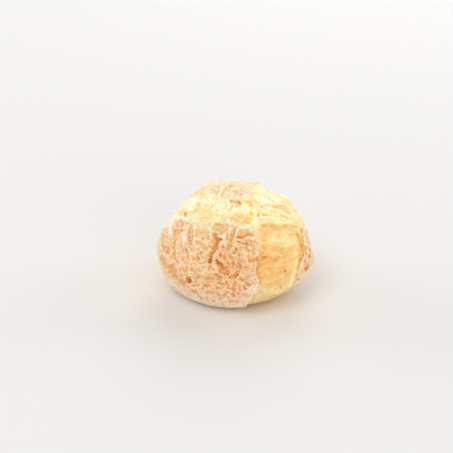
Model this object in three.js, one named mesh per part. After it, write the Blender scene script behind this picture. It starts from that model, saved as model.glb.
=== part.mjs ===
// A baked cheese bread ball: one solid of dough with its cracked crust.
//
// The frame: millimetres, +Z up, -Y to the front, origin at the middle of the foot of its bounding box.
// The ball starts as an ellipsoid. Broad swells and hollows give it its lopsided form, crust plates stand
// proud of the stretched dough between them, and creases, folds and torn strands are worked into both.
// It rests on the flat spot that it baked on.

import * as THREE from "three";
import { mergeVertices } from "three/addons/utils/BufferGeometryUtils.js";

// ---- Driving dimensions, mm ----
const HALF_WIDTH = 27.6; // the ellipsoid's half axes along X, Y and Z
const HALF_DEPTH = 26.6;
const HALF_HEIGHT = 20.8;
const FOOT_DROP = 17.2; // the flat foot lies this far below the ellipsoid's middle
const FOOT_ROUNDING = 1.6; // height over which the side rolls into the foot
const CRUST_HEIGHT = 0.8; // how far a crust plate stands proud of the dough
const CRUST_EDGE = 0.9; // half the width of the ramp at a plate's edge
const RIM_HEIGHT = 0.35; // the curled lip just inside a plate's edge
const RIM_INSET = 1.6;
const RIM_WIDTH = 1.1;
const BLISTERS = 330; // shallow dishes all over the crust, which leave a net of ridges between them
const BLISTER_DEPTH = 0.5;
const BLISTER_SPREAD = 2.2;
const BLISTER_JITTER = 0.055; // on the unit ball
// Stirs whole numbers into scattered ones.
const SCATTER = { index: 12.9898, kind: 78.233, spin: 43758.5453 };
const SPHERE_TO_MM = 26; // one radian on the unit ball is about this much surface

// Marks are placed by eye from a point in front of the ball and above it.
const EYE_DISTANCE = 449;
const EYE_ELEVATION = 25; // degrees above the horizon

const SEGMENTS = 27; // squares along one side of each of the ball's six faces

// ---- Broad form: [bearing, elevation, spread, rise], degrees and mm ----
// Bearing turns from the front towards +X. Elevation is 0 at the waist and 90 at the top.
const SWELLS = {
  crown: [-150, 72, 22, 0.4],
  front_crown: [-35, 72, 20, 0.4],
  left_shoulder: [-108, 38, 24, -3.6],
  left_front_shoulder: [-60, 46, 20, -1.0],
  right_shoulder: [120, 46, 24, -0.6],
  right_crown: [60, 62, 18, -0.6],
  upper_right_cheek: [102, 22, 20, -1.3],
  right_waist: [92, 0, 14, -0.9],
  lower_right_corner: [82, -14, 16, 1.3],
  lower_left_belly: [-64, -42, 26, 1.5],
  left_waist_flat: [-88, -8, 30, -1.1],
  lower_right_cheek: [64, -46, 18, 0.8],
  right_band_bulge: [38, 0, 20, 0.8],
  front_belly: [-30, 0, 34, 0.5],
  back_flat: [178, 0, 40, -0.8],
  back_left_bulge: [-140, -8, 26, 0.9],
  dip_behind_crown: [137, 50, 10, -1.5],
  back_crown: [156, 60, 14, -0.5],
  dip_behind_left_shoulder: [-131, 38, 12, -1.4],
  upper_left_waist: [-101, 15, 16, -0.9],
  right_point: [77, -15, 9, 0.8],
};

// Slow waves that keep the skin from looking turned: [x, y, z waves per unit, phase, height]
const LUMPS = [
  [4.1, 2.3, -3.2, 0.4, 0.26],
  [-2.9, 5.2, 3.7, 1.9, 0.22],
  [6.3, -4.4, 5.1, 3.1, 0.16],
  [-7.2, -6.1, 4.6, 5.0, 0.12],
];

// ---- Crust plates: closed outlines of [bearing, elevation] in degrees ----
const PLATES = {
  front: [
    [18, 43], [20, 35], [20, 25], [19, 20], [16, 17], [17, 11], [14, 5], [17, -3], [17, -8], [14, -20],
    [13, -32], [8, -58], [-30, -61], [-62, -57], [-88, -44], [-103, -20], [-105, 0], [-96, 14], [-82, 20],
    [-70, 26], [-73, 33], [-69, 39], [-56, 43], [-42, 44], [-23, 45], [-11, 50], [-5, 47], [4, 44],
    [10, 44],
  ],
  cap: [
    [-124, 74], [-104, 69], [-75, 69], [-39, 69], [-20, 69], [-6, 71], [12, 73], [33, 74], [65, 76],
    [101, 73], [137, 63], [165, 58], [-165, 57], [-142, 62],
  ],
  right: [
    [68, 27], [66, 21], [64, 16], [61, 9], [57, 4], [53, 0], [51, -5], [50, -11], [52, -20], [57, -28],
    [61, -34], [68, -46], [78, -55], [104, -59], [132, -57], [150, -44], [158, -20], [155, 0], [148, 14],
    [134, 22], [118, 16], [106, 9], [94, 11], [86, 16], [80, 20], [74, 22], [69, 25],
  ],
  back: [
    [-116, -40], [-120, -16], [-117, -2], [-122, 8], [-134, 18], [-141, 30], [-146, 42], [-158, 46],
    [-172, 44], [178, 40], [168, 28], [163, 10], [169, -14], [165, -40], [178, -56], [-150, -60],
    [-124, -54],
  ],
};

// ---- Creases and folds, as seen from the eye point ----
// path: [across, up] in mm from the ball's middle, square to the line of sight; width in mm;
// rise in mm, negative for a groove.
const MARKS = {
  seven_groove_head: { path: [[-7.6, 3.8], [-5.0, 2.0]], width: 2.0, rise: -1.1 },
  seven_groove_stem: { path: [[-5.9, 2.6], [-7.4, -1.4], [-8.7, -5.9]], width: 1.7, rise: -1.2 },
  second_groove: { path: [[-0.9, 6.1], [-0.7, 3.2], [-1.9, -1.4]], width: 1.7, rise: -0.9 },
  lobe_crown_left: { path: [[-8.6, 5.0], [-6.1, 7.6], [-2.5, 7.0]], width: 1.7, rise: 0.6 },
  lobe_crown_right: { path: [[0.4, 2.4], [1.6, 4.8], [4.6, 5.1], [6.8, 3.6]], width: 1.7, rise: 0.7 },
  folded_pit: { path: [[-6.4, -6.8], [-4.6, -8.2], [-2.5, -9.3]], width: 1.7, rise: -1.0 },
  lobe_wedge: { path: [[0.9, 2.9], [3.2, 3.2], [6.0, 3.2]], width: 1.7, rise: -0.7 },
  left_trough: { path: [[-21.6, 5.0], [-21.8, 0.5], [-21.4, -4.0]], width: 1.7, rise: -0.7 },
  left_ridge: { path: [[-18.0, 5.6], [-18.2, 1.0], [-18.6, -4.0]], width: 1.7, rise: 0.6 },
  inner_trough: { path: [[-15.6, 5.6], [-15.8, 1.0], [-15.2, -2.5]], width: 1.7, rise: -0.6 },
  dough_crease: { path: [[8.6, 5.6], [14.0, 6.2], [19.4, 5.9], [23.4, 4.8]], width: 1.8, rise: -0.8 },
  strand_fold: { path: [[9.6, 8.2], [14.5, 8.6], [20.4, 8.4]], width: 2.4, rise: 0.8 },
  junction_valley: { path: [[8.4, 17.4], [6.0, 13.6], [6.6, 9.6], [7.4, 6.4]], width: 2.4, rise: -1.1 },
  band_left_dip: { path: [[8.2, -4.2], [8.8, -8.0], [9.2, -13.0]], width: 1.9, rise: -0.5 },
  sliver_groove: { path: [[21.9, 2.8], [23.6, -3.8], [22.6, -9.6], [21.6, -14.0]], width: 1.7, rise: -1.0 },
  cap_brow_pit: { path: [[-2.2, 15.6], [0.2, 14.2], [1.9, 13.7]], width: 1.8, rise: -0.8 },
  cap_split: { path: [[-2.9, 20.2], [-5.0, 16.6]], width: 1.7, rise: -0.5 },
};

const radians = THREE.MathUtils.degToRad;
const ramp = THREE.MathUtils.smoothstep;

// ---- Points on the unit ball ----
const onUnitBall = (bearing, elevation) =>
  new THREE.Vector3(
    Math.cos(radians(elevation)) * Math.sin(radians(bearing)),
    -Math.cos(radians(elevation)) * Math.cos(radians(bearing)),
    Math.sin(radians(elevation)),
  );

const EYE = onUnitBall(0, EYE_ELEVATION).multiplyScalar(EYE_DISTANCE);
const EYE_UP = onUnitBall(180, 90 - EYE_ELEVATION);

// The place on the unit ball that lies behind (across, up) for the eye.
function seenAt([across, up]) {
  const aim = new THREE.Vector3(across, 0, 0).addScaledVector(EYE_UP, up).sub(EYE).normalize();
  const scale = new THREE.Vector3(1 / HALF_WIDTH, 1 / HALF_DEPTH, 1 / HALF_HEIGHT);
  const from = EYE.clone().multiply(scale);
  const along = aim.multiply(scale);
  const a = along.dot(along);
  const b = from.dot(along);
  const c = from.dot(from) - 1;
  const t = (-b - Math.sqrt(Math.max(0, b * b - a * c))) / a;
  return from.addScaledVector(along, t).normalize();
}

// ---- Plates: a flat chart about each plate's middle, in mm ----
function chartAbout(middle) {
  const east = new THREE.Vector3(0, 0, 1).cross(middle).normalize();
  const north = middle.clone().cross(east);
  return (s) => {
    const angle = Math.acos(THREE.MathUtils.clamp(s.dot(middle), -1, 1));
    const x = s.dot(east);
    const y = s.dot(north);
    const stretch = (angle * SPHERE_TO_MM) / Math.max(1e-9, Math.hypot(x, y));
    return new THREE.Vector2(x * stretch, y * stretch);
  };
}

function makePlate(outline) {
  const corners = outline.map(([bearing, elevation]) => onUnitBall(bearing, elevation));
  const middle = corners.reduce((sum, c) => sum.add(c), new THREE.Vector3()).normalize();
  const chart = chartAbout(middle);
  return { chart, ring: corners.map(chart) };
}

function distanceToSegment(p, a, b) {
  const ab = b.clone().sub(a);
  const share = THREE.MathUtils.clamp(p.clone().sub(a).dot(ab) / ab.lengthSq(), 0, 1);
  return p.distanceTo(ab.multiplyScalar(share).add(a));
}

// How far s lies inside a plate's outline in mm, negative outside.
function depthInPlate(s, { chart, ring }) {
  const p = chart(s);
  let nearest = Infinity;
  let inside = false;
  ring.forEach((a, i) => {
    const b = ring[(i + 1) % ring.length];
    nearest = Math.min(nearest, distanceToSegment(p, a, b));
    const crosses = a.y > p.y !== b.y > p.y;
    if (crosses && p.x < ((b.x - a.x) * (p.y - a.y)) / (b.y - a.y) + a.x) inside = !inside;
  });
  return inside ? nearest : -nearest;
}

// ---- Relief, mm along the ellipsoid's normal ----
const swells = Object.values(SWELLS).map(([bearing, elevation, spread, rise]) => ({
  at: onUnitBall(bearing, elevation),
  spread: radians(spread),
  rise,
}));
const plates = Object.values(PLATES).map(makePlate);
const marks = Object.values(MARKS).map(({ path, width, rise }) => ({
  line: path.map(seenAt),
  reach: width / SPHERE_TO_MM,
  rise,
}));

const bell = (x) => Math.exp(-x * x);

// A number from 0 to 1 that looks random but is the same each time.
function scatter(index, kind) {
  const wave = Math.sin(index * SCATTER.index + kind * SCATTER.kind) * SCATTER.spin;
  return wave - Math.floor(wave);
}

// Blister middles on a golden spiral round the ball, each nudged off it.
const GOLDEN_TURN = Math.PI * (3 - Math.sqrt(5));
const blisters = Array.from({ length: BLISTERS }, (_, i) => {
  const z = 1 - (2 * i + 1) / BLISTERS;
  const across = Math.sqrt(1 - z * z);
  const nudge = [0, 1, 2].map((kind) => (scatter(i, kind) - 0.5) * 2 * BLISTER_JITTER);
  return new THREE.Vector3(
    across * Math.cos(i * GOLDEN_TURN) + nudge[0],
    across * Math.sin(i * GOLDEN_TURN) + nudge[1],
    z + nudge[2],
  ).normalize();
});

const swellAt = (s) =>
  swells.reduce((sum, w) => sum + w.rise * bell(s.angleTo(w.at) / w.spread), 0);

const lumpAt = (s) =>
  LUMPS.reduce((sum, [x, y, z, phase, h]) => sum + h * Math.sin(x * s.x + y * s.y + z * s.z + phase), 0);

function dishAt(s) {
  const nearest = Math.min(...blisters.map((middle) => s.distanceTo(middle)));
  return -BLISTER_DEPTH * bell((nearest * SPHERE_TO_MM) / BLISTER_SPREAD);
}

function crustAt(s) {
  const depth = Math.max(...plates.map((plate) => depthInPlate(s, plate)));
  const lip = RIM_HEIGHT * bell((depth - RIM_INSET) / RIM_WIDTH);
  return ramp(depth, -CRUST_EDGE, CRUST_EDGE) * (CRUST_HEIGHT + dishAt(s)) + lip;
}

function marksAt(s) {
  return marks.reduce((sum, { line, reach, rise }) => {
    let nearest = Infinity;
    for (let i = 0; i + 1 < line.length; i++)
      nearest = Math.min(nearest, distanceToSegment(s, line[i], line[i + 1]));
    return sum + rise * bell(nearest / reach);
  }, 0);
}

// The side rolls smoothly into the flat foot: level is exact below the rounding.
function restOnFoot(z) {
  const above = z + FOOT_DROP;
  if (above > FOOT_ROUNDING) return z;
  if (above < -FOOT_ROUNDING) return -FOOT_DROP;
  return -FOOT_DROP + (above + FOOT_ROUNDING) ** 2 / (4 * FOOT_ROUNDING);
}

function skinPoint(s) {
  const relief = swellAt(s) + lumpAt(s) + crustAt(s) + marksAt(s);
  const normal = new THREE.Vector3(s.x / HALF_WIDTH, s.y / HALF_DEPTH, s.z / HALF_HEIGHT).normalize();
  const p = new THREE.Vector3(s.x * HALF_WIDTH, s.y * HALF_DEPTH, s.z * HALF_HEIGHT);
  p.addScaledVector(normal, relief);
  p.z = restOnFoot(p.z);
  return p;
}

// ---- The solid ----
// A cube's grid blown up into a ball, with its squares evened out, then shaped by skinPoint.
function ballGeometry() {
  const box = new THREE.BoxGeometry(2, 2, 2, SEGMENTS, SEGMENTS, SEGMENTS);
  box.deleteAttribute("normal");
  box.deleteAttribute("uv");
  const ball = mergeVertices(box, 1e-4);
  const position = ball.getAttribute("position");
  const even = (t) => Math.tan((t * Math.PI) / 4);
  for (let i = 0; i < position.count; i++) {
    const s = new THREE.Vector3().fromBufferAttribute(position, i);
    s.set(even(s.x), even(s.y), even(s.z)).normalize();
    const p = skinPoint(s);
    position.setXYZ(i, p.x, p.y, p.z);
  }
  return ball;
}

function standOnOrigin(geometry) {
  geometry.computeBoundingBox();
  const { min, max } = geometry.boundingBox;
  geometry.translate(-(min.x + max.x) / 2, -(min.y + max.y) / 2, -min.z);
  geometry.computeVertexNormals();
  return geometry;
}

const bakedCrust = new THREE.MeshStandardMaterial({ color: 0xf0c48c, roughness: 0.8, metalness: 0 });

const ball = new THREE.Mesh(standOnOrigin(ballGeometry()), bakedCrust);
ball.name = "cheese_bread_ball";

const bread = new THREE.Group();
bread.add(ball);

export default bread;
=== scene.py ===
"""A baked cheese bread ball: stretched golden dough with thin, cracked crust plates over it.

The frame: +Z up, -Y to the front, origin at the middle of the foot. Sizes here are millimetres until a
mesh is written, which is in metres.
"""

import itertools
import math

import bmesh
import bpy
import numpy as np
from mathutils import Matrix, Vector


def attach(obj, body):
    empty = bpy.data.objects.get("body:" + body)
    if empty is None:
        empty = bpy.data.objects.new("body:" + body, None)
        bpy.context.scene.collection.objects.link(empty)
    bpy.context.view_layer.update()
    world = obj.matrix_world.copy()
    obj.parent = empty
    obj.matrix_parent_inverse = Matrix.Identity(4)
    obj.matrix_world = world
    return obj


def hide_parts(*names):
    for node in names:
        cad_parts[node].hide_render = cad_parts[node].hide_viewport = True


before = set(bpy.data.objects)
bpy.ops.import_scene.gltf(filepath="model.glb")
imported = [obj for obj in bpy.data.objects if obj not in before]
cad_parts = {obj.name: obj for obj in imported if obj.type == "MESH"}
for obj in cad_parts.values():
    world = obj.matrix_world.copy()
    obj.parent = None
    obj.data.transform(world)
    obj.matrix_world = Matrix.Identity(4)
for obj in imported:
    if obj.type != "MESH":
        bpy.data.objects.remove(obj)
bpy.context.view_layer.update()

MM = 0.001
SEED = 20  # of every scattered thing

# ---- Broad form, the same as the solid's ----
HALF_AXES = np.array([27.6, 26.6, 20.8])
FOOT_DROP = 17.2  # the flat foot lies this far below the ellipsoid's middle
FOOT_ROUNDING = 1.6  # height over which the side rolls into the foot
BALL_RADIUS = 26.0  # one radian on the unit ball is about this much surface
CRUST_HEIGHT = 0.8  # how far a crust plate stands out from the broad form
DOUGH_HEIGHT = 0.2  # how far the dough does

# name: (bearing, elevation, spread in degrees, rise in mm)
SWELLS = {
    "crown": (-150, 72, 22, 0.4),
    "front_crown": (-35, 72, 20, 0.4),
    "left_shoulder": (-108, 38, 24, -3.6),
    "left_front_shoulder": (-60, 46, 20, -1.0),
    "right_shoulder": (120, 46, 24, -0.6),
    "right_crown": (60, 62, 18, -0.6),
    "upper_right_cheek": (102, 22, 20, -1.3),
    "right_waist": (92, 0, 14, -0.9),
    "lower_right_corner": (82, -14, 16, 1.3),
    "lower_left_belly": (-64, -42, 26, 1.5),
    "left_waist_flat": (-88, -8, 30, -1.1),
    "lower_right_cheek": (64, -46, 18, 0.8),
    "right_band_bulge": (38, 0, 20, 0.8),
    "front_belly": (-30, 0, 34, 0.5),
    "back_flat": (178, 0, 40, -0.8),
    "back_left_bulge": (-140, -8, 26, 0.9),
    "dip_behind_crown": (137, 50, 10, -1.5),
    "back_crown": (156, 60, 14, -0.5),
    "dip_behind_left_shoulder": (-131, 38, 12, -1.4),
    "upper_left_waist": (-101, 15, 16, -0.9),
    "right_point": (77, -15, 9, 0.8),
}

# Slow waves over the skin: x, y, z waves per unit, phase, height in mm
LUMPS = [
    (4.1, 2.3, -3.2, 0.4, 0.26), (-2.9, 5.2, 3.7, 1.9, 0.22),
    (6.3, -4.4, 5.1, 3.1, 0.16), (-7.2, -6.1, 4.6, 5.0, 0.12),
]

# ---- Crust plates: closed outlines of (bearing, elevation) in degrees ----
FRONT_OUTLINE = [
    (18, 43), (20, 35), (20, 25), (19, 20), (16, 17), (17, 11), (14, 5), (17, -3), (17, -8), (14, -20),
    (13, -32), (8, -58), (-30, -61), (-62, -57), (-88, -44), (-103, -20), (-105, 0), (-96, 14), (-82, 20),
    (-70, 26), (-73, 33), (-69, 39), (-56, 43), (-42, 44), (-23, 45), (-11, 50), (-5, 47), (4, 44), (10, 44),
]
CAP_OUTLINE = [
    (-124, 74), (-104, 69), (-75, 69), (-39, 69), (-20, 69), (-6, 71), (12, 73), (33, 74), (65, 76),
    (101, 73), (137, 63), (165, 58), (-165, 57), (-142, 62),
]
RIGHT_OUTLINE = [
    (68, 27), (66, 21), (64, 16), (61, 9), (57, 4), (53, 0), (51, -5), (50, -11), (52, -20), (57, -28),
    (61, -34), (68, -46), (78, -55), (104, -59), (132, -57), (150, -44), (158, -20), (155, 0), (148, 14),
    (134, 22), (118, 16), (106, 9), (94, 11), (86, 16), (80, 20), (74, 22), (69, 25),
]
BACK_OUTLINE = [
    (-116, -40), (-120, -16), (-117, -2), (-122, 8), (-134, 18), (-141, 30), (-146, 42), (-158, 46),
    (-172, 44), (178, 40), (168, 28), (163, 10), (169, -14), (165, -40), (178, -56), (-150, -60),
    (-124, -54),
]

# ---- The eye, which the camera takes too ----
EYE_DISTANCE = 449.0
EYE_ELEVATION = 25.0  # degrees

# ---- Folds and cells, as seen from the eye ----
# name: (half width, rise, bake, path of (across, up) from the ball's middle). All but the bake are in mm.
# Bake runs from 0, cream, to 1.2, burnt. Blush runs from 0, golden, to 1, rosy.
FRONT_HOLLOWS = {
    "seven_head": (0.78, -0.50, 0.84, [(-7.3, 3.0), (-6.6, 1.4)]),
    "seven_head_point": (0.56, -0.42, 0.82, [(-6.4, 1.6), (-4.8, 1.4)]),
    "seven_stem": (0.78, -0.55, 0.83, [(-6.2, 0.9), (-7.1, -1.8), (-8.1, -3.9), (-8.7, -6.4)]),
    "seven_end": (0.58, -0.15, 0.85, [(-8.5, -5.1), (-8.9, -6.9)]),
    "second_groove": (0.70, -0.40, 0.74, [(0.0, 5.5), (-0.5, 3.6), (-1.3, 1.1), (-2.2, -2.5)]),
    "second_groove_top": (0.60, -0.30, 0.64, [(-0.9, 5.8), (0.9, 5.3)]),
    "left_lobe_floor": (1.60, -0.14, 0.57, [(-6.6, 5.6), (-3.6, 5.6)]),
    "left_lobe_brow": (0.32, -0.11, 0.73, [(-7.6, 4.6), (-6.4, 4.4)]),
    "left_lobe_top": (0.50, -0.11, 0.76, [(-6.4, 6.7), (-4.6, 6.4)]),
    "left_lobe_foot": (0.64, -0.11, 0.58, [(-5.0, 3.7), (-3.1, 3.4)]),
    "right_lobe_floor": (1.02, -0.17, 0.57, [(1.6, 3.9), (5.7, 3.8)]),
    "right_lobe_wrinkle": (0.32, -0.33, 0.88, [
        (0.9, 2.1), (1.8, 2.2), (2.6, 2.0), (3.6, 2.5), (4.6, 3.1), (5.1, 3.6),
    ]),
    "right_lobe_wrinkle_tip": (0.25, -0.22, 0.86, [(5.0, 3.0), (6.4, 2.6)]),
    "right_lobe_lower_wrinkle": (0.29, -0.33, 0.84, [
        (1.1, 0.6), (2.1, 0.2), (3.4, -0.4), (4.7, -0.1), (4.5, -1.3),
    ]),
    "right_lobe_small_wrinkle": (0.21, -0.22, 0.77, [(4.1, 1.0), (5.7, 0.7)]),
    "right_lobe_plateau": (0.93, -0.08, 0.56, [(2.5, -1.9), (4.1, -2.5)]),
    "pit_mouth": (0.40, -0.50, 1.02, [(-6.3, -6.3), (-6.0, -6.9)]),
    "pit_floor": (0.88, -0.36, 0.84, [(-5.6, -7.3), (-4.7, -8.2)]),
    "pit_apron": (1.15, -0.12, 0.73, [(-4.8, -9.9), (-3.2, -10.6)]),
    "pit_tail": (0.62, -0.20, 0.78, [(-4.4, -8.6), (-2.9, -8.7)]),
    "below_pit": (1.12, -0.17, 0.75, [(-6.8, -11.8), (-5.5, -12.6)]),
    "leaf": (0.98, -0.20, 0.60, [(-13.3, 0.1), (-11.8, -0.6), (-10.4, -1.9)]),
    "leaf_tip": (0.32, -0.17, 0.77, [(-10.2, -1.6), (-10.1, -2.4)]),
    "left_plateau": (1.30, -0.11, 0.52, [(-13.1, 3.9), (-9.3, 3.5)]),
    "left_plateau_top": (0.80, -0.08, 0.36, [(-13.6, 6.0), (-10.3, 6.3)]),
    "inner_trough": (0.84, -0.36, 0.64, [(-15.7, 4.6), (-15.4, 2.5), (-15.6, 0.1)]),
    "inner_trough_edge": (0.29, -0.24, 0.80, [(-16.2, 4.6), (-16.1, 0.6)]),
    "left_trough_mouth": (0.80, -0.33, 0.64, [(-20.9, 4.2), (-19.1, 3.9)]),
    "left_trough": (0.58, -0.39, 0.68, [(-21.2, 3.6), (-21.2, 1.1), (-21.6, -1.1), (-21.3, -3.4)]),
    "left_trough_side": (0.57, -0.17, 0.54, [(-19.8, 2.9), (-20.0, 0.7)]),
    "curl_shadow": (0.30, -0.22, 0.70, [(-19.0, 7.6), (-18.4, 6.6), (-19.0, 5.8), (-19.8, 5.7)]),
    "slit_one": (0.21, -0.22, 0.81, [(-19.0, 4.6), (-18.2, 4.2)]),
    "slit_two": (0.29, -0.22, 0.79, [(-18.8, 2.9), (-18.6, 2.7)]),
    "slit_three": (0.25, -0.22, 0.83, [(-25.3, 0.7), (-24.8, 0.2)]),
    "slit_four": (0.36, -0.22, 0.80, [(-13.8, 2.5), (-13.6, 2.4)]),
    "slit_five": (0.25, -0.22, 0.78, [(-17.3, 4.6), (-17.3, 4.5)]),
    "cell_a": (0.96, -0.17, 0.67, [(-25.5, 2.1), (-25.1, 1.6)]),
    "cell_b": (0.82, -0.17, 0.65, [(-25.8, -0.4), (-25.7, -1.2)]),
    "cell_c": (1.10, -0.22, 0.77, [(-24.4, -2.2), (-23.7, -3.1)]),
    "cell_d": (1.25, -0.22, 0.76, [(-25.8, -5.8), (-25.0, -6.8), (-24.4, -8.4)]),
    "cell_e": (1.38, -0.22, 0.76, [(-22.6, -9.1), (-21.8, -9.8)]),
    "cell_e_foot": (0.56, -0.17, 0.71, [(-23.3, -10.4), (-22.7, -10.7)]),
    "cell_e_side": (0.48, -0.17, 0.72, [(-21.2, -10.1), (-20.9, -10.8)]),
    "cell_f": (0.91, -0.22, 0.76, [(-21.3, -11.8), (-20.4, -12.7)]),
    "cell_f_dark": (0.29, -0.11, 0.80, [(-20.8, -11.7), (-20.4, -12.0)]),
    "cell_g": (1.10, -0.22, 0.74, [(-19.1, -13.8), (-18.1, -14.7)]),
    "cell_h": (0.36, -0.17, 0.69, [(-18.0, -15.7), (-17.8, -16.1)]),
    "red_blotch": (0.92, -0.12, 0.92, [(-16.7, -13.3), (-15.9, -13.6)]),
    "red_blotch_top": (0.48, -0.12, 0.86, [(-16.8, -12.3), (-15.8, -12.4)]),
    "red_blotch_heart": (0.48, -0.06, 0.96, [(-16.5, -14.0), (-16.0, -14.1)]),
    "red_blotch_eye": (0.25, -0.06, 0.95, [(-15.8, -13.1), (-15.6, -13.2)]),
    "cell_i": (0.72, -0.17, 0.69, [(-15.3, -9.1), (-15.3, -9.8)]),
    "cell_j": (0.29, -0.22, 0.76, [(-13.6, -9.3), (-14.1, -10.7)]),
    "cell_k": (0.29, -0.17, 0.75, [(-17.2, -8.7), (-17.3, -9.1)]),
    "cell_l": (0.52, -0.17, 0.71, [(-18.5, -9.4), (-17.8, -10.2)]),
    "cell_m": (0.68, -0.17, 0.71, [(-14.6, -15.4), (-13.1, -15.1)]),
    "cell_m_dark": (0.29, -0.11, 0.78, [(-14.9, -15.4), (-14.4, -15.5)]),
    "cell_n": (0.68, -0.22, 0.75, [(-10.3, -15.2), (-8.8, -15.5)]),
    "cell_o": (0.72, -0.17, 0.71, [(-15.0, -17.0), (-13.3, -18.1)]),
    "cell_p": (0.64, -0.17, 0.68, [(-10.3, -17.9), (-7.7, -17.8)]),
    "cell_q": (0.36, -0.17, 0.71, [(-11.8, -16.2), (-11.1, -16.7)]),
    "cell_r": (0.60, -0.11, 0.68, [(-12.8, -19.0), (-11.8, -20.0)]),
    "cell_s": (0.40, -0.11, 0.68, [(-10.0, -20.0), (-9.1, -20.8)]),
    "cell_t": (0.64, -0.17, 0.75, [(-10.3, -12.5), (-7.8, -12.8)]),
    "cell_u": (0.56, -0.22, 0.75, [(-5.7, -14.5), (-4.2, -14.7)]),
    "cell_v": (0.48, -0.17, 0.72, [(-6.4, -16.1), (-4.8, -16.5)]),
    "cell_w": (0.72, -0.17, 0.69, [(-3.1, -14.1), (-2.1, -16.2)]),
    "cell_x": (0.72, -0.17, 0.76, [(0.2, -14.3), (-0.4, -15.8), (-0.1, -17.0)]),
    "cell_y": (0.44, -0.17, 0.72, [(1.6, -15.1), (1.9, -16.7)]),
    "cell_z": (0.60, -0.22, 0.75, [(3.2, -15.7), (4.0, -16.6)]),
    "dark_cell": (0.68, -0.28, 0.81, [(4.3, -14.9), (5.1, -15.2)]),
    "row_a": (0.44, -0.17, 0.73, [(-6.0, -18.4), (-5.8, -18.9)]),
    "row_b": (0.40, -0.17, 0.72, [(-5.3, -19.6), (-5.1, -20.4)]),
    "row_c": (0.60, -0.22, 0.77, [(-3.5, -18.7), (-3.2, -18.9)]),
    "row_d": (0.36, -0.17, 0.73, [(-2.4, -19.1), (-2.2, -19.5)]),
    "row_e": (0.76, -0.22, 0.75, [(-0.6, -18.5), (-0.3, -19.0)]),
    "row_f": (0.60, -0.22, 0.76, [(0.9, -18.0), (1.6, -18.3)]),
    "row_g": (0.36, -0.17, 0.75, [(2.9, -18.5), (4.2, -18.3)]),
    "row_h": (0.29, -0.17, 0.71, [(1.3, -19.3), (1.9, -19.4)]),
    "row_i": (0.36, -0.17, 0.71, [(-2.9, -17.7), (-2.1, -17.7)]),
    "row_j": (0.44, -0.11, 0.68, [(-7.8, -20.9), (-6.9, -20.9)]),
    "row_k": (0.52, -0.11, 0.68, [(-1.4, -21.0), (1.1, -21.2)]),
    "lozenge": (0.84, -0.22, 0.73, [(-1.3, -12.3), (0.0, -12.0), (1.2, -10.6)]),
    "lozenge_tip": (0.36, -0.17, 0.80, [(-2.0, -12.3), (-1.6, -12.4)]),
    "rim_cell_a": (0.40, -0.17, 0.75, [(2.1, -13.1), (2.9, -13.3)]),
    "rim_cell_b": (0.44, -0.17, 0.69, [(4.4, -12.7), (4.9, -13.0)]),
    "rim_cell_c": (0.36, -0.17, 0.72, [(6.9, -11.3), (7.5, -11.5)]),
    "rim_cell_d": (0.29, -0.17, 0.75, [(6.3, -10.0), (6.6, -10.3)]),
    "mid_a": (0.40, -0.22, 0.76, [(-5.2, -3.2), (-4.9, -5.1)]),
    "mid_b": (0.68, -0.17, 0.72, [(-1.9, -4.3), (-0.9, -5.4)]),
    "mid_c": (0.36, -0.17, 0.72, [(-3.6, -4.3), (-3.4, -5.8)]),
    "mid_d": (0.36, -0.22, 0.76, [(-3.1, -6.8), (-2.4, -7.1)]),
    "mid_e": (0.36, -0.17, 0.74, [(-0.4, -6.9), (-0.7, -8.9)]),
    "mid_f": (0.44, -0.17, 0.69, [(1.5, -3.6), (1.6, -6.8), (2.0, -9.1)]),
    "mid_g": (0.25, -0.17, 0.78, [(2.7, -5.1), (2.4, -7.0)]),
    "mid_h": (0.52, -0.17, 0.74, [(4.8, -5.9), (5.7, -6.6), (7.1, -6.4)]),
    "mid_i": (0.40, -0.17, 0.78, [(7.3, -5.5), (7.4, -6.1)]),
    "mid_j": (0.29, -0.17, 0.79, [(-4.2, -0.9), (-3.9, -1.7)]),
    "mid_k": (0.40, -0.22, 0.79, [(0.4, -2.0), (0.6, -2.6)]),
    "mid_l": (0.36, -0.22, 0.76, [(-2.4, 2.5), (-2.6, 1.4)]),
    "mid_m": (0.36, -0.17, 0.76, [(-8.2, 1.0), (-7.6, -0.1)]),
    "mid_n": (0.44, -0.28, 0.79, [(-9.1, -1.4), (-8.3, -1.3)]),
    "mid_o": (0.36, -0.17, 0.73, [(-9.4, -4.1), (-10.1, -5.4)]),
    "mid_p": (0.25, -0.17, 0.74, [(-9.4, 2.0), (-9.3, 1.7)]),
    "mid_q": (0.44, -0.17, 0.77, [(-13.5, -2.6), (-12.7, -2.3)]),
    "mid_r": (0.40, -0.17, 0.78, [(-13.4, -4.1), (-12.8, -5.7)]),
    "mid_s": (0.36, -0.17, 0.79, [(-12.2, -3.4), (-11.9, -3.6)]),
    "mid_t": (0.36, -0.17, 0.73, [(-11.4, -5.1), (-11.1, -5.5)]),
    "mid_u": (0.29, -0.17, 0.76, [(0.0, -3.6), (0.3, -3.9)]),
    "mid_v": (0.29, -0.17, 0.77, [(0.7, -8.5), (0.9, -8.8)]),
    "mid_w": (0.29, -0.17, 0.76, [(3.7, -8.6), (3.9, -8.9)]),
    "mid_x": (0.29, -0.17, 0.73, [(5.1, -2.7), (5.3, -3.2)]),
    "mid_y": (0.29, -0.17, 0.74, [(6.6, -2.6), (6.8, -4.1)]),
    "mid_z": (0.29, -0.17, 0.72, [(5.9, 0.8), (6.2, -1.6)]),
    "wrinkle_a": (0.29, -0.22, 0.72, [(-17.5, -2.0), (-17.0, -3.4), (-16.9, -5.2)]),
    "wrinkle_b": (0.29, -0.22, 0.70, [(-22.6, 0.4), (-22.8, -1.3)]),
    "wrinkle_c": (0.36, -0.22, 0.74, [(-21.5, -4.1), (-21.3, -5.9), (-20.5, -6.8)]),
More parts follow.
